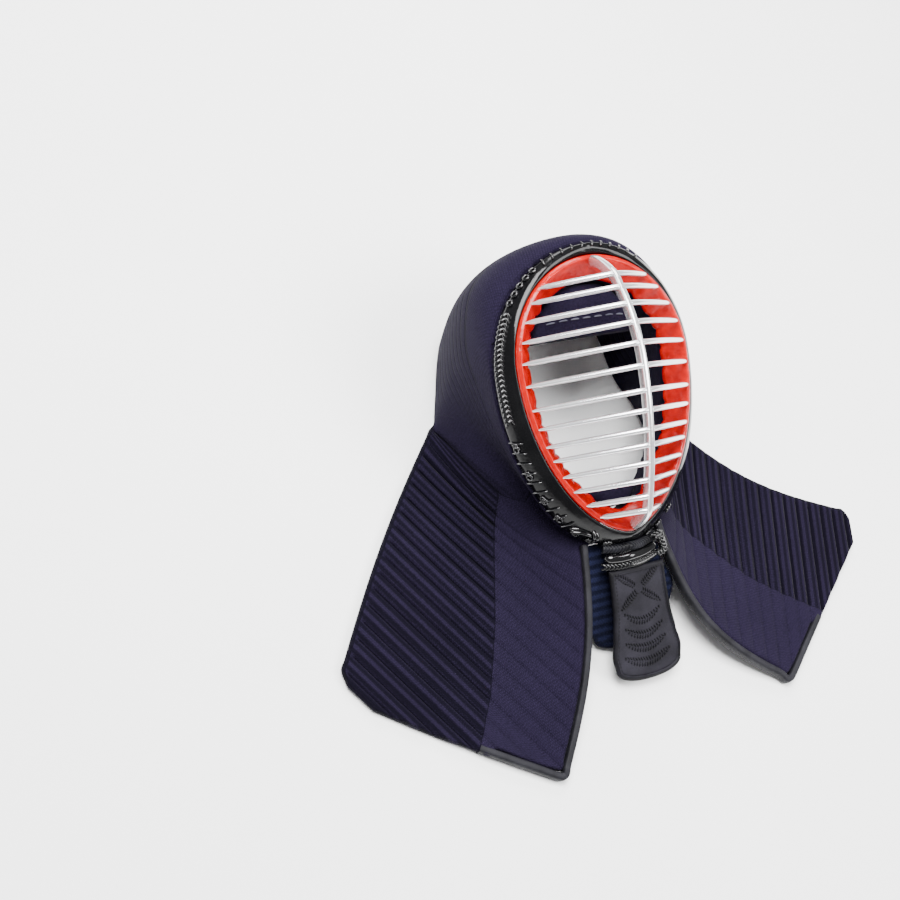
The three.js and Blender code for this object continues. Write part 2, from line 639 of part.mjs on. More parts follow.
const innerRun = Math.sqrt(INNER_GUARD_LENGTH ** 2 - innerDrop ** 2);
const innerTip = innerTop.clone().add(new THREE.Vector3(0, -innerRun, -innerDrop));
addPart('inner_throat_guard',
  loft(shieldSections(INNER_GUARD_TABLE, innerTop, innerTip, INNER_GUARD_WIDTH, INNER_GUARD_WALL)),
  INDIGO, 0.9, 0);

// The origin goes to the middle of the overall box, on the floor
const size = new THREE.Box3().setFromObject(group);
const middle = size.getCenter(new THREE.Vector3());
for (const mesh of group.children) mesh.geometry.translate(-middle.x, -middle.y, -size.min.z);

export default group;
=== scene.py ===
"""Kendo men helmet lying on its back: cloth, leather, lacquer and metal over the fixed frame."""
import logging
import math
from dataclasses import dataclass
from enum import Enum
from typing import Callable, Sequence

import bmesh
import bpy
import numpy as np
from mathutils import Matrix, Vector
from mathutils.bvhtree import BVHTree


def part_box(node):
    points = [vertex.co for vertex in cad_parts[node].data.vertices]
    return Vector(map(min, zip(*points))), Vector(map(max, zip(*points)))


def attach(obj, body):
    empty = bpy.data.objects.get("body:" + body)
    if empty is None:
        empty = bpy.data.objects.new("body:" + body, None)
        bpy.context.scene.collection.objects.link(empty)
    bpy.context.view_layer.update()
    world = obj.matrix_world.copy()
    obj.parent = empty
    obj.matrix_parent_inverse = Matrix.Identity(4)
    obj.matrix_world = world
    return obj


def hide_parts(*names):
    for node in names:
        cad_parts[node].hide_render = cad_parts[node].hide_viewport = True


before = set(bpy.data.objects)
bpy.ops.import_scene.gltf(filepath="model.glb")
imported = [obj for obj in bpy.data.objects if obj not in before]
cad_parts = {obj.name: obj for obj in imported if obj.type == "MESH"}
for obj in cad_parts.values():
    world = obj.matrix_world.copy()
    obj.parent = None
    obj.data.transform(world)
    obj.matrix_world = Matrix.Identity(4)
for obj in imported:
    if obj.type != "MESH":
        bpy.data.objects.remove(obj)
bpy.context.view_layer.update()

log = logging.getLogger("men")
MM = 0.001
Rows = np.ndarray


class Slot(Enum):
    """Kinds of finish, passed along with each piece."""

    GRILLE = "grille"
    LACQUER = "lacquer"
    QUILT = "quilt"
    HIDE = "hide"
    CORD = "cord"
    INDIGO = "indigo"


def clear_selection() -> None:
    """Leaves nothing selected, in object mode."""
    if bpy.context.mode != "OBJECT":
        bpy.ops.object.mode_set(mode="OBJECT")
    bpy.ops.object.select_all(action="DESELECT")


def take(piece: bpy.types.Object) -> None:
    """Makes a piece the only one selected, and active.

    Args:
        piece: the object to work on.
    """
    clear_selection()
    piece.select_set(True)
    bpy.context.view_layer.objects.active = piece


def new_piece(name: str) -> bpy.types.Object:
    """Names the primitive that was just added.

    Args:
        name: plain name for the object and its mesh.

    Returns:
        The active object.
    """
    piece = bpy.context.active_object
    piece.name = name
    piece.data.name = name
    return piece


def mend(piece: bpy.types.Object, distance: float = 1e-6) -> None:
    """Merges doubled points and turns all faces outwards.

    Args:
        piece: the mesh object.
        distance: points nearer than this are one.
    """
    take(piece)
    bpy.ops.object.mode_set(mode="EDIT")
    bpy.ops.mesh.select_all(action="SELECT")
    bpy.ops.mesh.remove_doubles(threshold=distance)
    bpy.ops.mesh.dissolve_degenerate(threshold=distance)
    bpy.ops.mesh.select_all(action="SELECT")
    bpy.ops.mesh.normals_make_consistent(inside=False)
    bpy.ops.object.mode_set(mode="OBJECT")


def finish_modifiers(piece: bpy.types.Object) -> None:
    """Applies every modifier of a piece, in order.

    Args:
        piece: the mesh object.
    """
    take(piece)
    for modifier in list(piece.modifiers):
        bpy.ops.object.modifier_apply(modifier=modifier.name)


def smooth(piece: bpy.types.Object, angle: float = 40.0) -> None:
    """Shades a piece smooth, with edges sharper than the angle kept.

    Args:
        piece: the mesh object.
        angle: in degrees.
    """
    take(piece)
    bpy.ops.object.shade_smooth_by_angle(angle=math.radians(angle))


def join(name: str, parts: Sequence[bpy.types.Object]) -> bpy.types.Object:
    """Joins several objects to one.

    Args:
        name: name of the joined piece.
        parts: the objects, of which the first is kept.

    Returns:
        The joined object.
    """
    clear_selection()
    for part in parts:
        part.select_set(True)
    bpy.context.view_layer.objects.active = parts[0]
    bpy.ops.object.join()
    return new_piece(name)


def skin_ring(name: str, rings: Rows) -> bpy.types.Object:
    """A closed ring from a torus whose points are moved to the given sections.

    Args:
        name: the piece's name.
        rings: array of stations, points round the section, xyz.

    Returns:
        The new object.
    """
    clear_selection()
    bpy.ops.mesh.primitive_torus_add(major_segments=rings.shape[0], minor_segments=rings.shape[1])
    piece = new_piece(name)
    piece.data.vertices.foreach_set("co", rings.reshape(-1).astype(np.float32))
    mend(piece)
    return piece


def skin_sheet(name: str, rows: Rows, sewing: Rows | None = None,
               marks: Rows | None = None) -> bpy.types.Object:
    """A closed body from a grid: each row is a loop that starts and ends at the same point.

    Args:
        name: the piece's name.
        rows: array of rows, points of the loop, xyz.
        sewing: the UV of each point, or None.
        marks: four values for each point, kept as the attribute "marks", or None.

    Returns:
        The new object.
    """
    clear_selection()
    count, width = rows.shape[:2]
    bpy.ops.mesh.primitive_grid_add(x_subdivisions=width - 1, y_subdivisions=count - 1)
    piece = new_piece(name)
    piece.data.vertices.foreach_set("co", rows.reshape(-1).astype(np.float32))
    if sewing is not None:
        layer = piece.data.uv_layers.active
        corners = np.empty(len(piece.data.loops), dtype=np.int32)
        piece.data.loops.foreach_get("vertex_index", corners)
        layer.data.foreach_set("uv", sewing.reshape(-1, 2)[corners].reshape(-1).astype(np.float32))
    if marks is not None:
        kept = piece.data.attributes.new("marks", "FLOAT_COLOR", "POINT")
        kept.data.foreach_set("color", marks.reshape(-1).astype(np.float32))
    mend(piece)
    return piece


def cross_axes(points: Sequence[np.ndarray], i: int,
               side: np.ndarray) -> tuple[np.ndarray, np.ndarray]:
    """The two directions across a line of points, at one of them.

    Args:
        points: where the line runs.
        i: number of the point.
        side: direction that the first of the two keeps nearest to.

    Returns:
        Two unit vectors, square to the line and to each other.
    """
    ahead = points[min(i + 1, len(points) - 1)] - points[max(i - 1, 0)]
    ahead = ahead / np.linalg.norm(ahead)
    first = side - ahead * side.dot(ahead)
    first = first / np.linalg.norm(first)
    return first, np.cross(ahead, first)


def skin_rod(name: str, points: Rows, half: Rows, side: np.ndarray,
             sides: int = 20) -> bpy.types.Object:
    """A rod along points, with domed ends, and a UV of its length and its round in metres.

    Args:
        name: the piece's name.
        points: where it runs, in metres.
        half: its two half widths at each point, the first one along side.
        side: direction across the rod.
        sides: points round it.

    Returns:
        The new object.
    """
    rows, sewing = [], []
    length = 0.0
    for i, p in enumerate(points):
        a, b = cross_axes(points, i, side)
        length += float(np.linalg.norm(p - points[i - 1])) if i else 0.0
        turns = [math.tau * k / sides for k in range(sides + 1)]
        rows.append([p + a * half[i][0] * math.cos(w) + b * half[i][1] * math.sin(w)
                     for w in turns])
        sewing.append([(length, w * half[i][0]) for w in turns])
    for at, end in ((0, 0), (len(rows), len(points) - 1)):
        rows.insert(at, [points[end]] * (sides + 1))
        sewing.insert(at, sewing[min(at, len(sewing) - 1)])
    for ring in rows[1:-1]:
        ring[-1] = ring[0]
    piece = skin_sheet(name, np.array(rows), np.array(sewing))
    smooth(piece, 60)
    return piece


def braid(points: Rows, outward: np.ndarray, across: float, rise: float, pitch: float,
          spread: float = 105.0) -> list[list[np.ndarray]]:
    """Short strands round a cord, that meet in a row of arrow shapes along its front.

    Args:
        points: the cord's middle line, in metres.
        outward: direction that its front faces.
        across: half its width, strand centres.
        rise: half its depth, strand centres.
        pitch: distance from strand to strand.
        spread: how far round each strand reaches to either side, in degrees.

    Returns:
        The points of each strand.
    """
    step = np.linalg.norm(np.diff(points, axis=0), axis=1)
    run = np.concatenate([[0], np.cumsum(step)])
    places = np.arange(pitch * 0.4, run[-1] - pitch * 0.4, pitch)
    middle = np.stack([np.interp(places, run, points[:, k]) for k in range(3)], axis=1)
    tangent = np.gradient(middle, axis=0)
    strands = []
    for p, t in zip(middle, tangent / np.linalg.norm(tangent, axis=1, keepdims=True)):
        out = outward - t * outward.dot(t)
        out = out / np.linalg.norm(out)
        side = np.cross(t, out)
        strands.append([p + out * rise * math.cos(math.radians(w))
                        + side * across * math.sin(math.radians(w))
                        + t * pitch * 1.3 * (0.5 - abs(w) / spread)
                        for w in np.linspace(-spread, spread, 9)])
    return strands


def skin_cords(name: str, runs: Sequence[Sequence[np.ndarray]], radius: float,
               sides: int = 2) -> bpy.types.Object:
    """Many short round cords as one piece.

    Args:
        name: the piece's name.
        runs: the points of each cord, in metres.
        radius: in metres.
        sides: resolution of the round.

    Returns:
        A mesh object.
    """
    curve = bpy.data.curves.new(name, "CURVE")
    curve.dimensions = "3D"
    curve.bevel_depth = radius
    curve.bevel_resolution = sides
    curve.use_fill_caps = True
    for run in runs:
        spline = curve.splines.new("POLY")
        spline.points.add(len(run) - 1)
        for k, (spot, p) in enumerate(zip(spline.points, run)):
            spot.co = (*p, 1)
            spot.radius = 0.55 if k in (0, len(run) - 1) else 1.0
    cords = bpy.data.objects.new(name, curve)
    bpy.context.scene.collection.objects.link(cords)
    take(cords)
    bpy.ops.object.convert(target="MESH")
    piece = new_piece(name)
    mend(piece)
    smooth(piece, 80)
    return piece


def rounded(loop: Sequence[np.ndarray], passes: int) -> list[np.ndarray]:
    """Cuts the corners of a closed loop of points.

    Args:
        loop: the points.
        passes: each one doubles the points.

    Returns:
        The rounder loop.
    """
    points = list(loop)
    for _ in range(passes):
        cut = []
        for k, p in enumerate(points):
            q = points[(k + 1) % len(points)]
            cut += [p * 0.75 + q * 0.25, p * 0.25 + q * 0.75]
        points = cut
    return points


def resample(grid: Rows, axis: int, places: Sequence[float]) -> Rows:
    """Reads a grid of points between its rows or columns, on smooth curves.

    Args:
        grid: array of rows, columns, values.
        axis: 0 along the rows, 1 along the columns.
        places: where to read, in row or column numbers.

    Returns:
        The new grid.
    """
    moved = np.moveaxis(grid, axis, 0)
    last = len(moved) - 1
    out = []
    for place in places:
        k = min(int(place), last - 1)
        s = place - k
        a, b = moved[k], moved[k + 1]
        before = moved[k - 1] if k > 0 else 2 * a - b
        after = moved[k + 2] if k + 2 <= last else 2 * b - a
        out.append(0.5 * (2 * a + (b - before) * s + (2 * before - 5 * a + 4 * b - after) * s * s
                          + (3 * a - before - 3 * b + after) * s ** 3))
    return np.moveaxis(np.array(out), 0, axis)


def soft_normals(skin: Rows, passes: int) -> Rows:
    """The outward directions of a grid of points, each blended with its neighbours'.

    Args:
        skin: array of rows, columns, xyz.
        passes: times that each one is blended.

    Returns:
        A unit vector for each point.
    """
    tiny = 1e-12
    normal = np.cross(np.gradient(skin, axis=1), np.gradient(skin, axis=0))
    normal /= np.linalg.norm(normal, axis=2, keepdims=True) + tiny
    for _ in range(passes):
        for axis in (0, 1):
            ahead, behind = np.roll(normal, -1, axis), np.roll(normal, 1, axis)
            blend = normal * 2 + ahead + behind
            ends = [slice(None)] * 3
            ends[axis] = [0, -1]
            blend[tuple(ends)] = normal[tuple(ends)]
            normal = blend / (np.linalg.norm(blend, axis=2, keepdims=True) + tiny)
    return normal


def keep_clear(piece: bpy.types.Object, nodes: Sequence[str], gap: float,
               reach: float = 0.003) -> None:
    """Moves a soft piece's points out of its neighbours.

    Args:
        piece: the soft mesh.
        nodes: CAD nodes that it stays clear of.
        gap: the distance kept, in metres.
        reach: how deep a point may lie in a neighbour and still be moved.
    """
    for name in nodes:
        shape = bmesh.new()
        shape.from_mesh(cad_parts[name].data)
        bmesh.ops.remove_doubles(shape, verts=shape.verts, dist=1e-6)
        tree = BVHTree.FromBMesh(shape)
        low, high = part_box(name)
        for v in piece.data.vertices:
            if any(v.co[k] < low[k] - gap or v.co[k] > high[k] + gap for k in range(3)):
                continue
            spot, normal, _, away = tree.find_nearest(v.co)
            inside = (v.co - spot).dot(normal) < 0
            if away < (reach if inside else gap):
                v.co = spot + normal * gap
        shape.free()


def table_value(table: Sequence[tuple[float, ...]], at: float, column: int) -> float:
    """Reads a table on a smooth curve.

    Args:
        table: rows that start with their place.
        at: the place.
        column: the column to read.

    Returns:
        The value there.
    """
    if at >= table[-1][0]:
        return table[-1][column]
    k = next(i for i in range(len(table) - 1) if at <= table[i + 1][0])
    a, b = table[k], table[k + 1]
    before, after = table[max(0, k - 1)], table[min(len(table) - 1, k + 2)]
    s = (at - a[0]) / (b[0] - a[0])
    rise_a = (b[column] - before[column]) / max(b[0] - before[0], 1) * (b[0] - a[0])
    rise_b = (after[column] - a[column]) / max(after[0] - a[0], 1) * (b[0] - a[0])
    return ((2 * s ** 3 - 3 * s ** 2 + 1) * a[column] + (s ** 3 - 2 * s ** 2 + s) * rise_a
            + (3 * s ** 2 - 2 * s ** 3) * b[column] + (s ** 3 - s ** 2) * rise_b)


@dataclass(frozen=True)
class Face:
    """The face's plane, the grille's rim and the frame round it; millimetres inside, metres out."""

    lean: float = 20.0
    height: float = 130.0
    middle: tuple[float, float] = (16.597, -62.964)
    half_width: float = 84.0
    widest: float = 28.0
    above: float = 89.0
    below: float = 145.0
    taper: float = 1.2
    slope: float = 0.045
    setback: float = -3.0
    crest_inset: float = 4.0
    frame_width: float = 16.0
    frame_drop: float = 30.0
    frame_wall: float = 5.0
    frame_table: tuple[tuple[float, ...], ...] = (
        (0, 0.625, 0.067), (45, 0.69, -0.333), (90, 0.75, -0.667), (135, 1, -0.9),
        (155, 1, -1), (170, 0.69, -0.767), (180, 0.5, -0.6))

    @property
    def forward(self) -> np.ndarray:
        """Unit vector out of the face."""
        return np.array([0, -math.sin(math.radians(self.lean)), math.cos(math.radians(self.lean))])

    @property
    def up(self) -> np.ndarray:
        """Unit vector up the face."""
        return np.array([0, math.cos(math.radians(self.lean)), math.sin(math.radians(self.lean))])

    def shift(self, point: np.ndarray) -> np.ndarray:
        """Puts a point of the part's own layout in the row frame, in metres."""
        return (point - np.array([self.middle[0], self.middle[1], 0])) * MM

    def place(self, x: float, u: float, n: float) -> np.ndarray:
        """A point by its distances across, up and out of the face, in the part's layout.

        Args:
            x: across the face.
            u: up the face.
            n: out of its plane.

        Returns:
            The point, in millimetres.
        """
        return np.array([x, 0, self.height]) + self.up * u + self.forward * n

    def rim(self, degrees: float) -> np.ndarray:
        """The rim's outer edge in the face's plane, by degrees from its top.

        Args:
            degrees: from the top, to the right.

        Returns:
            Its distances across and up the face.
        """
        a = math.radians(degrees)
        s, c = math.sin(a), math.cos(a)
        x = self.half_width * (math.copysign(abs(s) ** self.taper, s) if c < 0 else s)
        return np.array([x, self.widest + (self.below if c < 0 else self.above) * c])

    def outward(self, degrees: float) -> np.ndarray:
        """Unit vector out of the rim's outer edge, in the face's plane.

        Args:
            degrees: place on the rim.

        Returns:
            Its parts across and up the face.
        """
        t = self.rim(degrees + 1) - self.rim(degrees - 1)
        t = t / np.linalg.norm(t)
        return np.array([-t[1], t[0]])

    def round(self, degrees: float, outward: float, n: float) -> np.ndarray:
        """A point at a distance outward of the rim's outer edge, at depth n.

        Args:
            degrees: place on the rim.
            outward: distance from its outer edge.
            n: out of the face's plane.

        Returns:
            The point, in millimetres.
        """
        p = self.rim(degrees) + self.outward(degrees) * outward
        return self.place(p[0], p[1], n)

    def rim_depth(self, u: float) -> float:
        """How far the rim's crest stands out of the face's plane."""
        return self.setback + self.slope * u

    def band(self, degrees: float) -> float:
        """The frame's width."""
        return self.frame_width * table_value(self.frame_table, abs(degrees), 1)

    def edge(self, degrees: float) -> float:
        """How far the frame's outer edge stands out of the face's plane."""
        return self.frame_drop * table_value(self.frame_table, abs(degrees), 2)

    def half_at(self, u: float) -> float:
        """Half the rim's width at a height on the face.

        Args:
            u: up the face.

        Returns:
            The distance from the middle to the rim's outer edge.
        """
        lower = u < self.widest
        c = min(1.0, abs(u - self.widest) / (self.below if lower else self.above))
        return self.half_width * math.sqrt(1 - c * c) ** (self.taper if lower else 1)


FACE = Face()


class Shader:
    """A material's node tree, with its Principled BSDF as `skin`."""

    def __init__(self, name: str) -> None:
        """Starts a material."""
        self.material = bpy.data.materials.new(name)
        self.material.use_nodes = True
        self.tree = self.material.node_tree
        self.skin = self.tree.nodes["Principled BSDF"]

    def node(self, kind: str, links: dict | None = None, **settings: object) -> bpy.types.Node:
        """Adds a node.

        Args:
            kind: its type.
            links: by input name or number, a value or an output socket.
            settings: the node's own properties.

        Returns:
            The node.
        """
        return add_node(self.tree, kind, links, **settings)

    def wear(self, **sockets: object) -> None:
        """Sets or links sockets of the Principled BSDF, by names with _ for spaces.

        Args:
            sockets: a value or an output socket for each.
        """
        for name, value in sockets.items():
            feed(self.tree, self.skin.inputs[name.replace("_", " ")], value)


def feed(tree: bpy.types.NodeTree, socket: bpy.types.NodeSocket, value: object) -> None:
    """Links or sets a socket.

    Args:
        tree: the node tree.
        socket: an input.
        value: an output socket, or a plain value.
    """
    if isinstance(value, bpy.types.NodeSocket):
        tree.links.new(value, socket)
    else:
        socket.default_value = value


def add_node(tree: bpy.types.NodeTree, kind: str, links: dict | None = None,
             **settings: object) -> bpy.types.Node:
    """Adds a node to a tree.

    Args:
        tree: the tree.
        kind: the node's type.
        links: by input name or number, a value or an output socket.
        settings: the node's own properties.

    Returns:
        The node.
    """
    node = tree.nodes.new(kind)
    for name, value in settings.items():
        setattr(node, name, value)
    for key, value in (links or {}).items():
        feed(tree, node.inputs[key], value)
    return node


def new_group(name: str, inputs: Sequence[tuple], outputs: Sequence[tuple]) -> tuple:
    """Starts a shader node group.

    Args:
        name: the group's name.
        inputs: name, socket type and value of each input.
        outputs: name and socket type of each output.

    Returns:
        The tree, its input node and its output node.
    """
    tree = bpy.data.node_groups.new(name, "ShaderNodeTree")
    for label, kind, value in inputs:
        socket = tree.interface.new_socket(label, in_out="INPUT", socket_type=kind)
        if value is not None:
            socket.default_value = value
    for label, kind in outputs:
        tree.interface.new_socket(label, in_out="OUTPUT", socket_type=kind)
    return tree, tree.nodes.new("NodeGroupInput"), tree.nodes.new("NodeGroupOutput")


def maths(tree: bpy.types.NodeTree, operation: str, *values: object) -> bpy.types.NodeSocket:
    """Adds a Math node and returns its output.

    Args:
        tree: the node tree.
        operation: the node's operation.
        values: its inputs, in order.

    Returns:
        The output socket.
    """
    node = add_node(tree, "ShaderNodeMath", dict(enumerate(values)), operation=operation)
    return node.outputs[0]


def build_cloth_grain() -> bpy.types.NodeTree:
    """Fine woven threads and soft fading; position in metres.

    Returns:
        The group, which puts out Height, Shade and Fade.
    """
    tree, given, out = new_group(
        "cloth_grain",
        [("Position", "NodeSocketVector", None), ("Threads", "NodeSocketFloat", 900.0),
         ("Fading", "NodeSocketFloat", 14.0)],
        [("Height", "NodeSocketFloat"), ("Shade", "NodeSocketFloat"), ("Fade", "NodeSocketFloat")])
    parts = add_node(tree, "ShaderNodeSeparateXYZ", {0: given.outputs["Position"]})
    across = maths(tree, "SINE", maths(tree, "MULTIPLY", parts.outputs[0], maths(
        tree, "MULTIPLY", given.outputs["Threads"], math.tau)))
    along = maths(tree, "SINE", maths(tree, "MULTIPLY", parts.outputs[1], maths(
        tree, "MULTIPLY", given.outputs["Threads"], math.tau)))
    weave = maths(tree, "MULTIPLY", across, along)
    fuzz = add_node(tree, "ShaderNodeTexNoise", {
        "Vector": given.outputs["Position"], "Scale": 1400.0, "Detail": 2.0})
    height = maths(tree, "ADD", maths(tree, "MULTIPLY", weave, 0.25), fuzz.outputs["Fac"])
    soft = add_node(tree, "ShaderNodeTexNoise", {
        "Vector": given.outputs["Position"], "Scale": given.outputs["Fading"], "Detail": 4.0})
    speck = add_node(tree, "ShaderNodeTexNoise", {
        "Vector": given.outputs["Position"], "Scale": 760.0, "Detail": 3.0, "Roughness": 0.7})
    feed(tree, out.inputs["Height"], height)
    feed(tree, out.inputs["Shade"], speck.outputs["Fac"])
    feed(tree, out.inputs["Fade"], soft.outputs["Fac"])
    return tree


def build_hide_grain() -> bpy.types.NodeTree:
    """Leather pebbles and soft wear; position in metres.

    Returns:
        The group, which puts out Height and Wear.
    """
    tree, given, out = new_group(
        "hide_grain",
        [("Position", "NodeSocketVector", None), ("Pebbles", "NodeSocketFloat", 900.0)],
        [("Height", "NodeSocketFloat"), ("Wear", "NodeSocketFloat")])
    cells = add_node(tree, "ShaderNodeTexVoronoi", {
        "Vector": given.outputs["Position"], "Scale": given.outputs["Pebbles"]},
        feature="SMOOTH_F1")
    soft = add_node(tree, "ShaderNodeTexNoise", {
        "Vector": given.outputs["Position"], "Scale": 60.0, "Detail": 5.0})
    feed(tree, out.inputs["Height"], maths(tree, "ADD", cells.outputs["Distance"], maths(
        tree, "MULTIPLY", soft.outputs["Fac"], 0.5)))
    feed(tree, out.inputs["Wear"], soft.outputs["Fac"])
    return tree


CLOTH_GRAIN = build_cloth_grain()
HIDE_GRAIN = build_hide_grain()


def ramp(shader: Shader, factor: object, stops: Sequence[tuple]) -> bpy.types.NodeSocket:
    """A colour ramp.

    Args:
        shader: the material.
        factor: what it reads.
        stops: place and colour of each stop.

    Returns:
        The colour socket.
    """
    node = shader.node("ShaderNodeValToRGB", {"Fac": factor})
    elements = node.color_ramp.elements
    while len(elements) < len(stops):
        elements.new(0.5)
    for element, (place, colour) in zip(elements, stops):
        element.position = place
        element.color = (*colour, 1)
    return node.outputs["Color"]


@dataclass(frozen=True)
class QuiltFinish:
    """Navy cotton sewn in rows of small stitches, along the piece's UV and its marks.

    The marks are: on the head, in the close-sewn front zone, in a channel, near the hem. The colour
    is darkened as painted shade in the channels, along the sewn grooves and along the hem's sewn
    line.
    """

    name: str
    dark: tuple[float, float, float] = (0.0022, 0.0016, 0.0048)
    light: tuple[float, float, float] = (0.0140, 0.0100, 0.0262)
    rows_sewn: float = 560.0
    stitch: float = 400.0
    head_pitch: float = 0.0076
    hem: float = 0.0030
    thread: float = 0.0005

    def build(self) -> bpy.types.Material:
        """Builds the material.

        Returns:
            The material.
        """
        shader = Shader(self.name)
        tree = shader.tree
        spot = shader.node("ShaderNodeTexCoord")
        grain = shader.node("ShaderNodeGroup", {"Position": spot.outputs["Object"]},
                            node_tree=CLOTH_GRAIN)
        marks = shader.node("ShaderNodeAttribute", attribute_name="marks")
        mark = shader.node("ShaderNodeSeparateColor", {0: marks.outputs["Color"]})
        head = maths(tree, "GREATER_THAN", mark.outputs[0], 0.49)
        uv = shader.node("ShaderNodeUVMap")
        parts = shader.node("ShaderNodeSeparateXYZ", {0: uv.outputs["UV"]})
        u, v = parts.outputs[0], parts.outputs[1]
        along = shader.node("ShaderNodeMix", {0: head, 2: u, 3: v}).outputs[0]
        over = shader.node("ShaderNodeMix", {0: head, 2: v, 3: u}).outputs[0]
        stray = shader.node("ShaderNodeTexNoise", {
            "Vector": spot.outputs["Object"], "Scale": 520.0, "Detail": 2.0}).outputs["Fac"]
        rows = maths(tree, "MULTIPLY_ADD", stray, 0.6, maths(
            tree, "MULTIPLY", over, self.rows_sewn))
        offset = maths(tree, "MULTIPLY_ADD", maths(tree, "FLOOR", rows), 0.5, maths(
            tree, "MULTIPLY", stray, 1.1))
        place = maths(tree, "MULTIPLY_ADD", along, self.stitch, offset)
        dash = maths(tree, "SINE", maths(tree, "MULTIPLY", place, math.tau))
        across = maths(tree, "SINE", maths(tree, "MULTIPLY", maths(tree, "FRACT", rows), math.pi))
        thread = maths(tree, "MULTIPLY", maths(tree, "MULTIPLY_ADD", dash, 0.5, 0.5), across)
        zone = maths(tree, "GREATER_THAN", mark.outputs[1], 0.5)
        plain = maths(tree, "MULTIPLY_ADD", mark.outputs[0], 2.0, -1.0)
        thread = maths(tree, "MULTIPLY", thread, maths(tree, "MULTIPLY_ADD", zone, 0.4, 0.6))
        split = maths(tree, "LESS_THAN", maths(
            tree, "ABSOLUTE", maths(tree, "SUBTRACT", mark.outputs[1], 0.5)), 0.034)
        line = maths(tree, "ABSOLUTE", maths(tree, "SINE", maths(
            tree, "MULTIPLY", over, math.pi / self.head_pitch)))
        groove = maths(tree, "MULTIPLY", maths(tree, "MULTIPLY_ADD", line, -2.1, 1.0), maths(
            tree, "MULTIPLY", plain, maths(tree, "SUBTRACT", 1.0, zone)))
        groove = maths(tree, "MAXIMUM", groove, split)
        near = maths(tree, "LESS_THAN", marks.outputs["Alpha"], self.hem)
        seam = maths(tree, "LESS_THAN", maths(tree, "ABSOLUTE", maths(
            tree, "SUBTRACT", marks.outputs["Alpha"], self.hem)), self.thread)
        mix = maths(tree, "ADD", maths(tree, "MULTIPLY", thread, 0.38), maths(
            tree, "MULTIPLY", grain.outputs["Shade"], 0.8))
        mix = maths(tree, "ADD", mix, maths(
            tree, "MULTIPLY_ADD", grain.outputs["Fade"], 0.3, -0.15))
        # painted shade: darker the deeper a point lies in a rib's channel (the third mark)
        mix = maths(tree, "MULTIPLY_ADD", mark.outputs[2], -0.3, mix)
        # painted shade: darker along the sewn grooves on the head and the front zone's seam, where
        # the bump sinks them
        mix = maths(tree, "MULTIPLY_ADD", groove, -0.34, mix)
        mix = maths(tree, "MULTIPLY_ADD", near, -0.3, mix)
        # painted shade: darker along the sewn line at the hem, which the bump also sinks
        mix = maths(tree, "MULTIPLY_ADD", seam, -0.3, mix)
        colour = ramp(shader, mix, [(0.12, self.dark), (0.85, self.light)])
        height = maths(tree, "ADD", maths(tree, "MULTIPLY", thread, 0.8), maths(
            tree, "MULTIPLY", grain.outputs["Height"], 0.6))
        height = maths(tree, "MULTIPLY_ADD", groove, -2.0, height)
        height = maths(tree, "MULTIPLY_ADD", seam, -2.0, height)
        bump = shader.node("ShaderNodeBump", {
            "Height": height, "Strength": 0.6, "Distance": 0.0005})
        shader.wear(Base_Color=colour, Roughness=0.88, Normal=bump.outputs["Normal"],
                    Specular_IOR_Level=0.05, Sheen_Weight=0.02, Sheen_Roughness=0.4)
        return shader.material


@dataclass(frozen=True)
class HideFinish:
    """Matt charcoal leather, with a darker sewn band along its edge where band isn't zero."""

    name: str
    dark: tuple[float, float, float] = (0.0058, 0.0052, 0.0082)
    light: tuple[float, float, float] = (0.0132, 0.0120, 0.0178)
    roughness: float = 0.62
    band: float = 0.0

    def build(self) -> bpy.types.Material:
        """Builds the material.

        Returns:
            The material.
        """
        shader = Shader(self.name)
        spot = shader.node("ShaderNodeTexCoord")
        grain = shader.node("ShaderNodeGroup", {"Position": spot.outputs["Object"]},
                            node_tree=HIDE_GRAIN)
        shade, height = grain.outputs["Wear"], grain.outputs["Height"]
        if self.band:
            tree = shader.tree
            marks = shader.node("ShaderNodeAttribute", attribute_name="marks")
            away = marks.outputs["Alpha"]
            parts = shader.node("ShaderNodeSeparateColor", {0: marks.outputs["Color"]})
            dash = maths(tree, "GREATER_THAN", maths(tree, "SINE", maths(
                tree, "MULTIPLY", parts.outputs[0], math.tau / 0.0034)), -0.3)
            inside = maths(tree, "LESS_THAN", away, self.band)
            line = maths(tree, "LESS_THAN", maths(
                tree, "ABSOLUTE", maths(tree, "SUBTRACT", away, self.band * 1.32)), 0.00045)
            sewn = maths(tree, "MULTIPLY", line, dash)
            shade = maths(tree, "MULTIPLY_ADD", inside, -0.28, shade)
            shade = maths(tree, "MULTIPLY_ADD", sewn, -0.4, shade)
            height = maths(tree, "MULTIPLY_ADD", sewn, 2.0, height)
        colour = ramp(shader, shade, [(0.12, tuple(0.4 * c for c in self.dark)), (0.35, self.dark),
                                      (0.72, self.light)])
        bump = shader.node("ShaderNodeBump", {
            "Height": height, "Strength": 0.35, "Distance": 0.0004})
        shader.wear(Base_Color=colour, Roughness=self.roughness, Normal=bump.outputs["Normal"],
                    Specular_IOR_Level=0.14)
        return shader.material


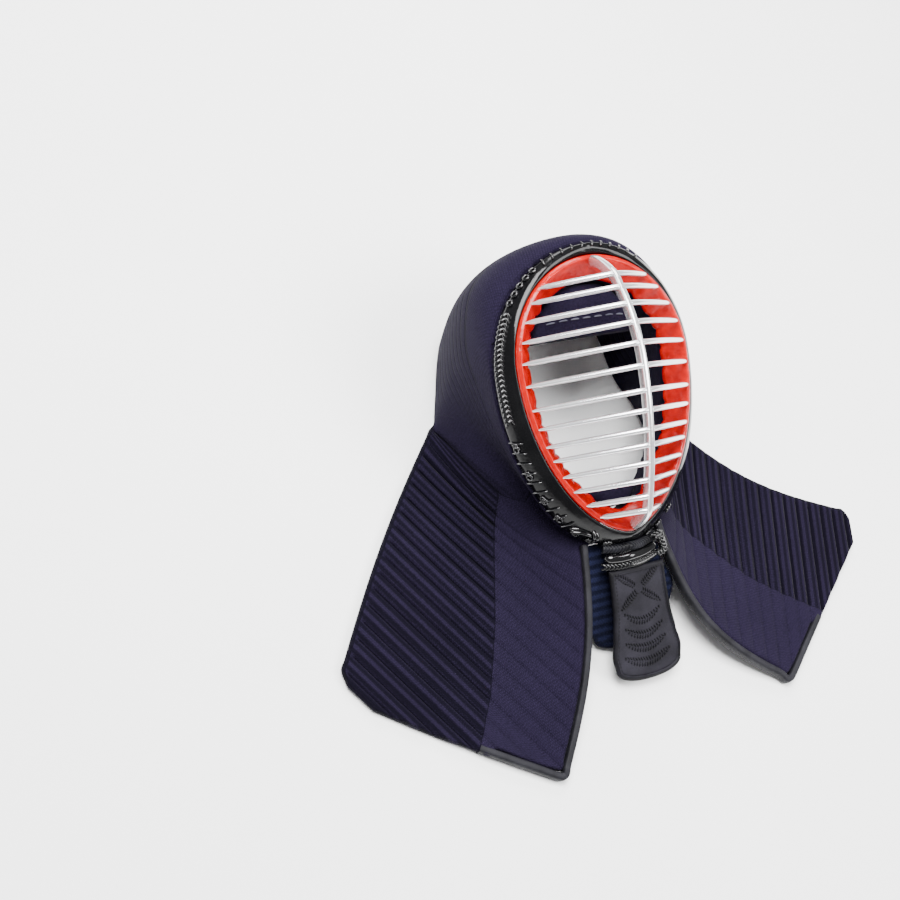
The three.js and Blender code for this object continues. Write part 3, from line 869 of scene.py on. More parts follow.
@dataclass(frozen=True)
class GlossFinish:
    """Lacquer or painted metal with a faint unevenness."""

    name: str
    dark: tuple[float, float, float]
    light: tuple[float, float, float]
    roughness: float = 0.12
    metallic: float = 0.0
    coat: float = 0.8
    waves: float = 40.0
    depth: float = 0.0006
    specular: float = 0.22

    def build(self) -> bpy.types.Material:
        """Builds the material.

        Returns:
            The material.
        """
        shader = Shader(self.name)
        spot = shader.node("ShaderNodeTexCoord")
        soft = shader.node("ShaderNodeTexNoise", {
            "Vector": spot.outputs["Object"], "Scale": self.waves, "Detail": 3.0})
        colour = ramp(shader, soft.outputs["Fac"], [(0.3, self.dark), (0.7, self.light)])
        fine = shader.node("ShaderNodeTexNoise", {
            "Vector": spot.outputs["Object"], "Scale": 600.0, "Detail": 2.0})
        rough = maths(shader.tree, "MULTIPLY_ADD", fine.outputs["Fac"], 0.12,
                      max(self.roughness - 0.06, 0.0))
        bump = shader.node("ShaderNodeBump", {
            "Height": soft.outputs["Fac"], "Strength": 0.5, "Distance": self.depth})
        shader.wear(Base_Color=colour, Roughness=rough, Metallic=self.metallic,
                    Coat_Weight=self.coat, Coat_Roughness=0.06, Normal=bump.outputs["Normal"],
                    Specular_IOR_Level=self.specular)
        return shader.material


def settle(piece: bpy.types.Object, finish: bpy.types.Material, slot: Slot,
           nodes: Sequence[str] = ()) -> bpy.types.Object:
    """Gives a piece its material and place on the body.

    Args:
        piece: the finished mesh.
        finish: its material.
        slot: not used.
        nodes: CAD nodes that it stands for.

    Returns:
        The piece.
    """
    piece.data.materials.clear()
    piece.data.materials.append(finish)
    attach(piece, "root")
    if nodes:
        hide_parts(*nodes)
    log.info("%s: %d faces", piece.name, len(piece.data.polygons))
    return piece


@dataclass
class Grille:
    """Red rim, silver bars and the upright bar."""

    rim_width: float = 19.0
    rim_depth: float = 14.0
    rim_wall: float = 3.5
    stations: int = 208
    bar_shares: tuple[float, ...] = (
        0.098, 0.148, 0.2115, 0.2795, 0.3525, 0.4315,
        0.516, 0.584, 0.6495, 0.702, 0.7635, 0.8215, 0.8785, 0.928)
    bar_width: float = 4.4
    bar_depth: float = 4.8
    bulge: float = 54.0
    bulge_centre: float = 20.0
    bulge_above: float = 116.0
    bulge_below: float = 172.0
    curve: float = 1.25
    bar_swell: float = 1.08
    spine_width: float = 5.0
    spine_depth: float = 10.0
    scallop: float = 2.4
    scallop_reach: float = 2.6

    def heights(self) -> list[float]:
        """Where the bars lie up the face."""
        whole = FACE.above + FACE.below
        return [FACE.widest + FACE.above - whole * share for share in self.bar_shares]

    def bulge_at(self, u: float) -> float:
        """How far the bars stand out at a height on the face."""
        reach = self.bulge_above if u > self.bulge_centre else self.bulge_below
        return self.bulge * (1 - ((u - self.bulge_centre) / reach) ** 2)

    def rim_section(self, degrees: float) -> list[np.ndarray]:
        """The rim's section, with its inner edge scalloped between the bars.

        Args:
            degrees: place on the rim.

        Returns:
            The section's points, in metres.
        """
        u = FACE.rim(degrees)[1]
        n = FACE.rim_depth(u)
        nearest = min(abs(u - height) for height in self.heights())
        edge = self.rim_width - self.scallop * math.exp(-(nearest / self.scallop_reach) ** 2)
        points = [(0, 2), (-FACE.crest_inset + 1, 0.2), (-FACE.crest_inset, 0),
                  (-edge, self.rim_depth), (-edge, self.rim_depth + self.rim_wall),
                  (-FACE.crest_inset - 1, self.rim_wall + 3), (0, self.rim_wall + 3)]
        return [FACE.shift(FACE.round(degrees, a, n - d)) for a, d in points]

    def build_rim(self) -> bpy.types.Object:
        """The red rim.

        Returns:
            The piece.
        """
        rings = [rounded(self.rim_section(k * 360 / self.stations - 180), 2)
                 for k in range(self.stations)]
        piece = skin_ring("grille_rim", np.array(rings))
        smooth(piece, 50)
        return piece

    def bar_points(self, u: float, count: int) -> list[np.ndarray]:
        """Points along one bar.

        Args:
            u: its height on the face.
            count: how many.

        Returns:
            The points, in millimetres.
        """
        half = FACE.half_at(u) - FACE.crest_inset
        shares = [-1 + 2 * k / (count - 1) for k in range(count)]
        return [FACE.place(half * s, u, FACE.rim_depth(u) - 1
                           + self.bulge_at(u) * (1 - abs(s) ** self.curve)) for s in shares]

    def skin_bar(self, name: str, points: list[np.ndarray], half: tuple[float, float],
                 side: np.ndarray, sides: int = 12, taper: float = 0.85,
                 square: float = 1.0) -> bpy.types.Object:
        """A bar from a cylinder that is moved onto its points, a little thinner at its ends.

        Args:
            name: the piece's name.
            points: its middle line, in millimetres.
            half: its two half widths, the first one along side.
            side: direction across it.
            sides: points round it.
            taper: share of its width that its ends keep.
            square: 1 for a round section, less for a squarer one.

        Returns:
            The new object.
        """
        clear_selection()
        bpy.ops.mesh.primitive_cylinder_add(vertices=sides, radius=1, depth=1,
                                            end_fill_type="NOTHING")
        piece = new_piece(name)
        bpy.ops.object.mode_set(mode="EDIT")
        bpy.ops.mesh.select_all(action="DESELECT")
        shape = bmesh.from_edit_mesh(piece.data)
        for edge in shape.edges:
            edge.select_set(all(v.co.z > 0 for v in edge.verts))
        bmesh.update_edit_mesh(piece.data)
        for _ in range(len(points) - 2):
            bpy.ops.mesh.extrude_edges_move()
        bpy.ops.object.mode_set(mode="OBJECT")
        rings = []
        for i, p in enumerate(points):
            a, b = cross_axes(points, i, side)
            end = min(i, len(points) - 1 - i) / (len(points) / 2)
            thin = taper + (1 - taper) * min(1.0, 3 * end)
            if i in (0, len(points) - 1):
                thin *= 0.4
            ring = []
            for k in range(sides):
                c, d = math.cos(math.tau * k / sides), math.sin(math.tau * k / sides)
                ring.append(FACE.shift(p + a * half[0] * thin * math.copysign(abs(c) ** square, c)
                                       + b * half[1] * thin * math.copysign(abs(d) ** square, d)))
            rings.append(ring)
        return self.wrap(piece, rings, sides)

    def wrap(self, piece: bpy.types.Object, rings: list, sides: int) -> bpy.types.Object:
        """Moves the rings of an extruded tube to their places and caps both ends.

        Args:
            piece: the tube.
            rings: the points of each ring, in metres.
            sides: points round it.

        Returns:
            The piece.
        """
        mesh = piece.data
        order = self.ring_order(mesh, sides)
        for k, ring in enumerate(order):
            for place, index in zip(rings[k], ring):
                mesh.vertices[index].co = place
        take(piece)
        bpy.ops.object.mode_set(mode="EDIT")
        bpy.ops.mesh.select_all(action="DESELECT")
        bpy.ops.mesh.select_non_manifold()
        bpy.ops.mesh.edge_face_add()
        bpy.ops.object.mode_set(mode="OBJECT")
        mend(piece)
        return piece

    def ring_order(self, mesh: bpy.types.Mesh, sides: int) -> list[list[int]]:
        """Vertex numbers ring by ring: lower and upper rim of the cylinder, then each extrusion.

        Args:
            mesh: the tube's mesh.
            sides: points round it.

        Returns:
            The numbers of each ring, in order.
        """
        low = [k for k in range(2 * sides) if k % 2 == 0]
        high = [k for k in range(2 * sides) if k % 2 == 1]
        rings = [low, high]
        shape = bmesh.new()
        shape.from_mesh(mesh)
        shape.verts.ensure_lookup_table()
        seen = set(low) | set(high)
        current = high
        while len(seen) < len(shape.verts):
            following = []
            for index in current:
                across = next(e.other_vert(shape.verts[index]).index
                              for e in shape.verts[index].link_edges
                              if e.other_vert(shape.verts[index]).index not in seen)
                following.append(across)
            seen |= set(following)
            rings.append(following)
            current = following
        shape.free()
        return rings

    def build_bars(self) -> bpy.types.Object:
        """All crossbars, as one piece.

        Returns:
            The piece.
        """
        half = (self.bar_width / 2 * self.bar_swell, self.bar_depth / 2 * self.bar_swell)
        bars = [self.skin_bar(f"bar_{k}", self.bar_points(u, 25), half, FACE.up)
                for k, u in enumerate(self.heights())]
        return join("grille_bars", bars)

    def build_spine(self) -> bpy.types.Object:
        """The upright bar.

        Returns:
            The piece.
        """
        inner = self.spine_depth / 2 - 1.5
        top = FACE.widest + FACE.above - FACE.crest_inset - 1
        bottom = FACE.widest - FACE.below + FACE.crest_inset + 1
        heights = self.heights()
        points = [FACE.place(0, top, FACE.rim_depth(top) + 0.02 * self.bulge - inner),
                  FACE.place(0, top - 5, FACE.rim_depth(top) + 0.27 * self.bulge - inner)]
        points += [FACE.place(0, u, FACE.rim_depth(u) + self.bulge_at(u) - inner) for u in heights]
        points += [FACE.place(0, bottom + 4, FACE.rim_depth(bottom) + 0.3 * self.bulge - inner),
                   FACE.place(0, bottom, FACE.rim_depth(bottom) + 0.02 * self.bulge - inner)]
        dense = resample(np.array(points)[:, None, :], 0,
                         np.linspace(0, len(points) - 1, 61))[:, 0, :]
        return self.skin_bar("grille_spine", list(dense),
                             (self.spine_width / 2, self.spine_depth / 2),
                             np.array([1.0, 0, 0]), 20, 0.95, 0.45)

    def build(self) -> None:
        """Builds and dresses the grille."""
        red = GlossFinish("red_lacquer", (0.27, 0.0006, 0.0003), (0.42, 0.0012, 0.0005),
                          0.14, 0.0, 0.1, 160.0, 0.0018, 0.2).build()
        silver = GlossFinish("silver_bars", (0.84, 0.84, 0.86), (0.96, 0.96, 0.98),
                             0.2, 0.8, 0.2, 90.0, 0.0002, 0.5).build()
        settle(self.build_rim(), red, Slot.GRILLE, ["face_grille"])
        for piece in (self.build_bars(), self.build_spine()):
            smooth(piece, 60)
            settle(piece, silver, Slot.GRILLE)


@dataclass
class LacquerFrame:
    """The black band round the grille."""

    stations: int = 208
    crown: float = 2.0

    def section(self, degrees: float) -> list[np.ndarray]:
        """The band's section.

        Args:
            degrees: place on the rim.

        Returns:
            The section's points, in metres.
        """
        n = FACE.rim_depth(FACE.rim(degrees)[1]) - 3
        width, edge, wall = FACE.band(degrees), FACE.edge(degrees), FACE.frame_wall
        middle = (n + edge) / 2
        points = [(0.4, n), (width * 0.3, middle * 0.6 + n * 0.4 + self.crown * 0.8),
                  (width / 2, middle + self.crown), (width * 0.8, middle * 0.4 + edge * 0.6 + 1.2),
                  (width, edge), (width, edge - wall), (width / 2, middle - wall), (0.4, n - wall)]
        return [FACE.shift(FACE.round(degrees, a, d)) for a, d in points]

    def build(self) -> None:
        """Builds and dresses the band."""
        rings = [rounded(self.section(k * 360 / self.stations - 180), 2)
                 for k in range(self.stations)]
        piece = skin_ring("lacquered_frame", np.array(rings))
        smooth(piece, 60)
        black = GlossFinish("black_lacquer", (0.0015, 0.0015, 0.002), (0.004, 0.004, 0.0045),
                            0.12, 0.0, 0.0, 45.0, 0.0016, 0.2).build()
        settle(piece, black, Slot.LACQUER, ["face_frame"])


@dataclass
class Lacing:
    """Cord stitches that join the hood to the lacquered frame, and a chain plait on one side."""

    spacing: float = 8.6
    radius: float = 0.95
    plain: tuple[tuple[float, float], ...] = ((-30, 40), (-148, -108))
    chain: tuple[float, float] = (-105, -58)
    chain_half: tuple[float, float] = (0.0036, 0.0016)
    chain_pitch: float = 0.0042
    chain_strand: float = 0.0013
    knots: tuple[float, ...] = (-113, -123, -133, -142, -151, -159, -167, 148, 156, 164)
    links: tuple[float, ...] = (-54, -49, -44, -39, -34)

    def on_frame(self, degrees: float, share: float, lift: float) -> np.ndarray:
        """A point above the frame's face, by the share of its width from the rim.

        Args:
            degrees: place on the rim.
            share: of the frame's width, from the rim.
            lift: distance above the frame.

        Returns:
            The point, in metres.
        """
        n = FACE.rim_depth(FACE.rim(degrees)[1]) - 3
        width, edge = FACE.band(degrees), FACE.edge(degrees)
        slope = math.atan2(n - edge, width)
        outward = 0.4 + (width - 0.4) * share + lift * math.sin(slope)
        depth = n + (edge - n) * share + 2.0 * math.sin(math.pi * share) + lift * math.cos(slope)
        return FACE.shift(FACE.round(degrees, outward, depth))

    def spaced(self, start: float, end: float) -> list[float]:
        """Degrees from start to end, evenly spaced along the frame.

        Args:
            start: first place, in degrees.
            end: last place, in degrees.

        Returns:
            The places.
        """
        fine = np.arange(start, end, 0.5)
        spots = np.array([FACE.rim(d) for d in fine])
        run = np.concatenate([[0], np.cumsum(np.linalg.norm(np.diff(spots, axis=0), axis=1))])
        count = int(run[-1] / self.spacing)
        return [float(np.interp(self.spacing * (k + 0.5), run, fine)) for k in range(count)]

    def stitch(self, degrees: float) -> list[np.ndarray]:
        """One stitch over the frame's outer edge.

        Args:
            degrees: place on the rim.

        Returns:
            The stitch's points, in metres.
        """
        width, edge = FACE.band(degrees), FACE.edge(degrees)
        points = [self.on_frame(degrees - 0.9, 0.62, 0.1), self.on_frame(degrees - 0.6, 0.7, 0.9),
                  self.on_frame(degrees, 0.86, 1.0), self.on_frame(degrees + 0.5, 1.0, 0.9)]
        points.append(FACE.shift(FACE.round(degrees + 0.7, width + 1.3, edge - 2.0)))
        return points

    def loop(self, degrees: float, size: float) -> list[np.ndarray]:
        """A small loop of cord over the frame's outer edge.

        Args:
            degrees: place on the rim.
            size: half its width, in millimetres.

        Returns:
            The loop's points, in metres.
        """
        middle = self.on_frame(degrees, 0.9, 1.1)
        ahead = self.on_frame(degrees + 1.5, 0.9, 1.1) - middle
        ahead /= np.linalg.norm(ahead)
        over = self.on_frame(degrees, 1.05, 0.8) - self.on_frame(degrees, 0.7, 1.4)
        over /= np.linalg.norm(over)
        return [middle + (ahead * math.cos(w) * 1.2 + over * math.sin(w)) * size * MM
                for w in np.linspace(0.3, math.tau + 0.6, 13)]

    def build(self) -> None:
        """Builds and dresses the lacing."""
        gloss = GlossFinish("lacing_cord", (0.0015, 0.0015, 0.002), (0.006, 0.006, 0.007),
                            0.12, 0.0, 0.3, 300.0, 0.0001, 0.5).build()
        runs = [self.stitch(d) for start, end in self.plain for d in self.spaced(start, end)]
        for degrees in self.knots:
            runs += [self.loop(degrees, 2.3), self.loop(degrees + 1.3, 1.5)]
        runs += [self.loop(degrees, 2.2) for degrees in self.links]
        settle(skin_cords("frame_lacing", runs, self.radius * MM), gloss, Slot.CORD)
        line = np.array([self.on_frame(d, 0.8, 1.9)
                         for d in np.linspace(self.chain[0], self.chain[1], 60)])
        runs = braid(line, FACE.forward, *self.chain_half, self.chain_pitch)
        settle(skin_cords("frame_plait", runs, self.chain_strand), gloss, Slot.CORD)


@dataclass
class Flap:
    """How one flap lies: angles in degrees, bows as shares of the edge's length."""

    side: int
    front: float
    bottom: float
    cut: float
    rib: float
    front_bow: float
    rear_bow: float
    bottom_bow: float
    chin: float = 155.0


@dataclass
class Hood:
    """The quilted sheet: rows from its rear to its front edge, over flap, side, crown and flap."""

    thickness: float = 9.0
    half_width: float = 98.0
    front_gap: float = 1.3
    crown_reach: float = 152.0
    hem_lean: float = 20.0
    crown_lean: float = -20.0
    crown_bulge: float = 1.5
    neck_reach: float = 52.0
    neck_half_width: float = 106.0
    chin_station: float = 155.0
    flap_front: float = 194.0
    flap_bottom: float = 186.0
    flap_cut: float = 28.0
    flap_corner: float = 14.0
    ribs: int = 17
    rib_pitch: float = 14.0
    rib_flat: float = 0.4
    rib_swell: float = 0.4
    relief: float = 3.0
    seam_depth: float = 0.5
    row_steps: int = 6
    binding: float = 6.0
    binding_step: float = 80.0
    columns: int = 10
    head_zone: float = 44.0
    head_lines: float = 84.0
    zone_seams: tuple[tuple[int, tuple[tuple[float, float], ...]], ...] = (
        (-1, ((85, -40), (97, -76), (118, -140), (142, -199), (167, -239), (190, -290))),
        (1, ((60, -60), (85, -95), (146, -158), (214, -206), (250, -240))))
    crown_table: tuple[tuple[float, ...], ...] = (
        (0, 0, 1), (25, 0.5, 0.985), (50, 0.83, 0.89), (70, 0.94, 0.73), (90, 0.99, 0.56),
        (120, 1.03, 0.42))
    flaps: tuple[Flap, ...] = (
        Flap(-1, 17, 35.5, 18, 32, 0.062, 0.022, 0.012, 160.5),
        Flap(1, 32, 39.5, 4, 17.5, 0.14, -0.105, 0))

    def front_edge(self, degrees: float) -> np.ndarray:
        """The sheet's front edge, tucked below the frame's outer edge.

        Args:
            degrees: place on the rim.

        Returns:
            The point, in millimetres.
        """
        tuck = 1.5 + (FACE.frame_wall + 0.4 - 1.5) * min(1.0, abs(degrees) / 80)
        return FACE.round(degrees, FACE.band(degrees) + self.front_gap, FACE.edge(degrees) - tuck)

    def head_row(self, degrees: float) -> list[np.ndarray]:
        """One row over the side or crown.

        Args:
            degrees: place on the rim.

        Returns:
            Its points from the hem to the front edge, in millimetres.
        """
        at = abs(degrees)
        side = -1 if degrees < 0 else 1
        front = self.front_edge(degrees)
        last = self.crown_table[-1][0]
        share = min(max((at - last) / (self.chin_station - last), 0), 1)
        across = self.half_width * table_value(self.crown_table, at, 1)
        along = self.crown_reach * table_value(self.crown_table, at, 2)
        crownness = max(0.0, along / self.crown_reach - 0.4) / 0.6
        rear = np.array([side * (across + (self.neck_half_width - across) * share)
                         + self.hem_lean * crownness, along + (self.neck_reach - along) * share, 0])
        outwards = np.array([side * across, along, 0.0])
        outwards *= self.crown_bulge / np.linalg.norm(outwards)
        outwards[0] += self.crown_lean
        row = []
        for k in range(self.columns + 1):
            w = k / self.columns * math.pi / 2
            p = rear + (front - rear) * (1 - math.cos(w)) ** 1.3
            p = p + outwards * (crownness * math.sin(2 * w))
            p[2] = front[2] * math.sin(w)
            row.append(p)
        return row

    def bowed(self, a: np.ndarray, b: np.ndarray, bow: float, steps: int,
              outward: np.ndarray) -> list[np.ndarray]:
        """An edge of the flap in plan, bowed outwards by a share of its length.

        Args:
            a: where it starts.
            b: where it ends.
            bow: share of its length, outwards.
            steps: parts that it is cut in.
            outward: rough direction outwards.

        Returns:
            Its points.
        """
        chord = b - a
        length = float(np.linalg.norm(chord))
        normal = np.array([chord[1], -chord[0]]) / length
        if normal.dot(outward) < 0:
            normal = -normal
        return [a + chord * k / steps + normal * bow * length * math.sin(math.pi * k / steps)
                for k in range(steps + 1)]

    def outline(self, flap: Flap) -> tuple[list, list, list, np.ndarray, np.ndarray]:
        """The flap's outline in plan, x outwards.

        Args:
            flap: how it lies.

        Returns:
            The points of the front, rear and bound edges, the chin's corner and the middle.
        """
        chin = self.front_edge(flap.chin)
        start = chin[:2].copy()
        hinge = self.front_edge(self.chin_station)[:2]
        a, b, c = (math.radians(v) for v in (flap.front, flap.bottom, flap.cut))
        down = np.array([math.sin(a), -math.cos(a)])
        out = np.array([math.cos(b), math.sin(b)])
        corner = hinge + down * self.flap_front
        cut_start = corner + out * self.flap_bottom
        cut_end = cut_start + np.array([math.sin(c), math.cos(c)]) * self.flap_cut
        neck = np.array([self.neck_half_width, self.neck_reach])
        before, after = corner - down * self.flap_corner, corner + out * self.flap_corner
        turn = [before * (1 - t) ** 2 + corner * 2 * t * (1 - t) + after * t * t
                for t in (0, 0.25, 0.5, 0.75, 1)]
        bottom = self.bowed(after, cut_start, flap.bottom_bow, 10, np.array([0, -1]))
        step = round(10 * (self.binding_step - self.flap_corner)
                     / (self.flap_bottom - self.flap_corner))
        front = self.bowed(start, before, flap.front_bow, 12, np.array([-1, 0]))
        bound = front[:-1] + turn[:-1] + bottom[:step + 1]
        rear = self.bowed(neck, cut_end, flap.rear_bow, 12, np.array([1, 1])) + [cut_start]
        return bound + bottom[step + 1:], rear, bound, chin, (neck + corner) / 2

    @staticmethod
    def inset(chain: list, distance: float, toward: np.ndarray) -> list[np.ndarray]:
        """A chain of plan points moved inwards.

        Args:
            chain: the points.
            distance: how far.
            toward: a point on the inner side.

        Returns:
            The moved points.
        """
        moved = []
        for i, p in enumerate(chain):
            t = chain[min(i + 1, len(chain) - 1)] - chain[max(i - 1, 0)]
            t = t / np.linalg.norm(t)
            n = np.array([-t[1], t[0]])
            if n.dot(toward - p) < 0:
                n = -n
            moved.append(p + n * distance)
        return moved

    @staticmethod
    def crossing(chain: list, normal: np.ndarray, offset: float) -> np.ndarray:
        """Where a chain of plan points crosses a rib line.

        Args:
            chain: the points.
            normal: direction square to the ribs.
            offset: the line's place along it.

        Returns:
            The crossing.
        """
        for i in range(1, len(chain)):
            a, b = chain[i - 1].dot(normal), chain[i].dot(normal)
            if offset <= b or i == len(chain) - 1:
                s = min(max((offset - a) / (b - a), 0), 1)
                return chain[i - 1] + (chain[i] - chain[i - 1]) * s
        return chain[-1]

    @staticmethod
    def trimmed(chain: list, a: np.ndarray, b: np.ndarray) -> np.ndarray:
        """Where the line from a to b first meets a chain of plan points, or b.

        Args:
            chain: the points.
            a: where the line starts.
            b: where it ends.

        Returns:
            The meeting point.
        """
        line = b - a
        best = 1.0
        for p, q in zip(chain, chain[1:]):
            step = q - p
            under = line[0] * step[1] - line[1] * step[0]
            if abs(under) < 1e-9:
                continue
            s = ((p[0] - a[0]) * step[1] - (p[1] - a[1]) * step[0]) / under
            t = ((p[0] - a[0]) * line[1] - (p[1] - a[1]) * line[0]) / under
            if 0 <= t <= 1 and 0.3 < s < best:
                best = s
        return a + line * best

    def rise(self, chin: np.ndarray, p: np.ndarray) -> float:
        """How far the flap's front edge stands above its flat part.

        Args:
            chin: the chin's corner.
            p: a point of the edge in plan.

        Returns:
            The height, in millimetres.
        """
        down = math.hypot(p[0] - chin[0], p[1] - chin[1]) / self.flap_front
        return (chin[2] - self.thickness) * min(max(1 - down, 0), 1)

    def flap_rows(self, flap: Flap) -> list[list[np.ndarray]]:
        """Rows of a flap from the line between neck and chin to its far end.

        Args:
            flap: how it lies.

        Returns:
            The points of each row, from rear to front, in millimetres.
        """
        front, rear, bound, chin, middle = self.outline(flap)
        a = math.radians(flap.rib)
        normal = np.array([math.cos(a), -math.sin(a)])
        inner = self.inset(bound, self.binding + 0.5, middle)
        inner.insert(0, inner[0] * 3 - inner[1] * 2)
        end = front[-1].dot(normal) - 4
        from_front, from_rear = front[0].dot(normal), rear[0].dot(normal)
        rows = []
        for k in range(1, 2 * self.ribs + 1):
            s = k / (2 * self.ribs)
            whole = self.crossing(front, normal, from_front + (end - from_front) * s)
            r = self.crossing(rear, normal, from_rear + (end - from_rear) * s)
            f = self.trimmed(inner, r, whole)
            rise = self.rise(chin, whole)
            chord = f - r
            out = np.array([-chord[1], chord[0]])
            if out[0] < 0:
                out = -out
            fold = 0.15 * max(0.0, 1 - s * 4) ** 2
            row = []
            for j in range(self.columns + 1):
                c = j / self.columns
                p = r + chord * c + out * fold * math.sin(math.pi * c ** 1.2)
                row.append(np.array([flap.side * p[0], p[1], self.thickness + rise * c ** 1.5]))
            rows.append(row)
        return rows

    def base(self) -> tuple[Rows, int, int]:
        """The sheet's coarse outer surface, and its first and last row on the head.

        Returns:
            The points, and the numbers of the two rows.
        """
        left = self.flap_rows(self.flaps[0])[::-1]
        stations = list(np.linspace(-self.flaps[0].chin, self.flaps[1].chin, 25))
        rows = np.array(left + [self.head_row(at) for at in stations]
                        + self.flap_rows(self.flaps[1]))
        first, last = len(left), len(left) + len(stations) - 1
        for _ in range(3):
            following = rows.copy()
            for i in range(1, len(rows) - 1):
                if min(abs(i - first), abs(i - last)) > 4:
                    continue
                for j in range(self.columns - 1):
                    share = 0.25 if j == 0 else 0.5 * (1 - (j / self.columns) ** 2)
                    mean = (rows[i - 1][j] + rows[i + 1][j]) / 2
                    following[i][j] += (mean - rows[i][j]) * share
            rows = following
        return rows, first, last

    def front_zone(self, skin: Rows, run: Rows, head: np.ndarray, wide: bool) -> Rows:
        """How far each point lies in the close-sewn front zone.

        Args:
            skin: the outer surface.
            run: distance from the rear edge.
            head: how far each row is on the head.
            wide: whether the seam is a wide slope, for the finish to read, or a narrow one.

        Returns:
            0 to 1 for each point, a half at the seam.
        """
        seam = np.zeros(skin.shape[:2])
        sharp = 16.0 if wide else 3.0
        for side, line in self.zone_seams:
            reach, across = np.array(line)[:, 1][::-1], np.array(line)[:, 0][::-1]
            edge = np.interp(skin[..., 1], reach, across)
            mine = skin[..., 0] * side > 0
            seam = np.where(mine, edge - skin[..., 0] * side, seam)
        on_head = self.head_zone - (run[:, -1:] - run)
        inside = seam * (1 - head[:, None]) + on_head * head[:, None]
        return np.clip(inside / sharp + 0.5, 0, 1)

    def ribs_at(self, run: Rows, away: np.ndarray, front: Rows) -> tuple[Rows, Rows]:
        """The relief of the ribs and of the front zone's seam.

        Args:
            run: distance from the rear edge.
            away: how many half ribs each row lies from the head.
            front: how far each point lies in the close-sewn front zone.

        Returns:
            How deep each point lies in a channel, 0 to 1, and how far it stands out.
        """
        phase = (away - 1) / 2
        valley = np.abs(phase - np.round(phase)) * self.rib_pitch
        slope = 1 - np.clip((valley - self.rib_flat) / (self.rib_pitch / 2 - self.rib_flat), 0, 1)
        depth = (1 - np.sqrt(1 - slope ** 2))[:, None]
        strength = (1 - 0.72 * front) * np.clip(away - 0.2, 0, 1)[:, None]
        strength = strength * (0.25 + 0.75 * np.clip((run - 3.5) / 4, 0, 1))
        seam = self.seam_depth * np.exp(-((front - 0.5) / 0.45) ** 2)
        return depth * strength, (self.rib_swell - self.relief * depth) * strength - seam

    def walls(self, skin: Rows, lift: Rows, border: Rows) -> tuple[Rows, Rows]:
        """The sheet's outer and inner surface, which meet in a round along its edge.

        Args:
            skin: the smooth outer surface.
            lift: how far each point stands out of it.
            border: how far each point lies from the sheet's edge.

        Returns:
            The points of both.
        """
        normal = soft_normals(skin, 6)
        half = self.thickness / 2
        turn = np.clip(border / half, 0, 1)
        share_in = 1 - np.sqrt(1 - (1 - turn) ** 2)
        outer = skin + normal * (lift * (1 - share_in) - half * share_in)[..., None]
        inner = skin - normal * (self.thickness - half * share_in)[..., None]
        outer[..., 2] = np.maximum(outer[..., 2], 0)
        inner[..., 2] = np.maximum(inner[..., 2], 0)
        meet = (share_in > 0.999)[..., None]
        both = (outer + inner) / 2
        return np.where(meet, both, outer), np.where(meet, both, inner)

    def sewing_at(self, skin: Rows, run: Rows, head: np.ndarray) -> Rows:
        """The sheet's UV; on the head, the lines behind the front zone spread to the hem.

        Args:
            skin: the outer surface.
            run: distance from the rear edge.
            head: more than a half for each row on the head.

        Returns:
            Distance from the front edge, and length along the sheet, in metres.
        """
        middle = skin[:, 30]
        steps = np.linalg.norm(np.diff(middle, axis=0), axis=1)
        lengths = np.cumsum(np.concatenate([[0], steps])) * MM
        from_front = run[:, -1:] - run
        rear = np.maximum(from_front - self.head_zone, 0)
        spread = self.head_lines / (run[:, -1:] - self.head_zone) * rear
        lined = np.where(from_front > self.head_zone, self.head_zone + spread, from_front)
        from_front = np.where(head[:, None] > 0.5, lined, from_front)
        return np.stack([from_front * MM, np.repeat(lengths[:, None], run.shape[1], axis=1)],
                        axis=2)

    def build(self) -> bpy.types.Object:
        """Builds and dresses the sheet.

        Returns:
            The piece.
        """
        coarse, first, last = self.base()
        places = np.linspace(0, len(coarse) - 1, (len(coarse) - 1) * self.row_steps + 1)
        across = np.concatenate([[0, 0.06, 0.14, 0.24, 0.36], np.linspace(0.5, 9.5, 73),
                                 [9.64, 9.76, 9.86, 9.94, 10]])
        skin = resample(resample(coarse, 0, places), 1, across)
        width = np.linalg.norm(np.diff(skin, axis=1), axis=2)
        run = np.concatenate([np.zeros((len(skin), 1)), np.cumsum(width, axis=1)], axis=1)
        away = np.where(places < first, first - places, np.where(places > last, places - last, 0))
        on_head = np.clip(1 - away, 0, 1)
        channel, lift = self.ribs_at(run, away, self.front_zone(skin, run, on_head, False))
        from_end = np.minimum(places, len(coarse) - 1 - places)[:, None] * self.rib_pitch / 2
        border = np.minimum(from_end, np.minimum(run, run[:, -1:] - run))
        outer, inner = self.walls(skin, lift, border)
        from_flap = np.clip(np.minimum(places - first, last - places) - 1, 0, 4) / 8 + 0.5
        head = np.where(on_head > 0.5, from_flap, on_head)
        # the third mark, how deep each point lies in a channel, is painted into the quilt's colour
        # as shade
        marks = np.stack([np.repeat(head[:, None], run.shape[1], axis=1),
                          self.front_zone(skin, run, head, True), channel,
                          np.minimum(from_end, run) * MM], axis=2)
        sewing = self.sewing_at(skin, run, head)
        piece = skin_sheet("quilted_sheet", FACE.shift(self.close(outer, inner)),
                           self.close(sewing, sewing), self.close(marks, marks))
        keep_clear(piece, ["face_frame", "face_cushion"], 0.0004)
        smooth(piece, 70)
        quilt = QuiltFinish("navy_quilt").build()
        return settle(piece, quilt, Slot.QUILT, ["quilted_hood"])

    @staticmethod
    def close(outer: Rows, inner: Rows) -> Rows:
        """Each row's outer values and then its inner ones, back to the first."""
        return np.concatenate([outer, inner[:, ::-1], outer[:, :1]], axis=1)


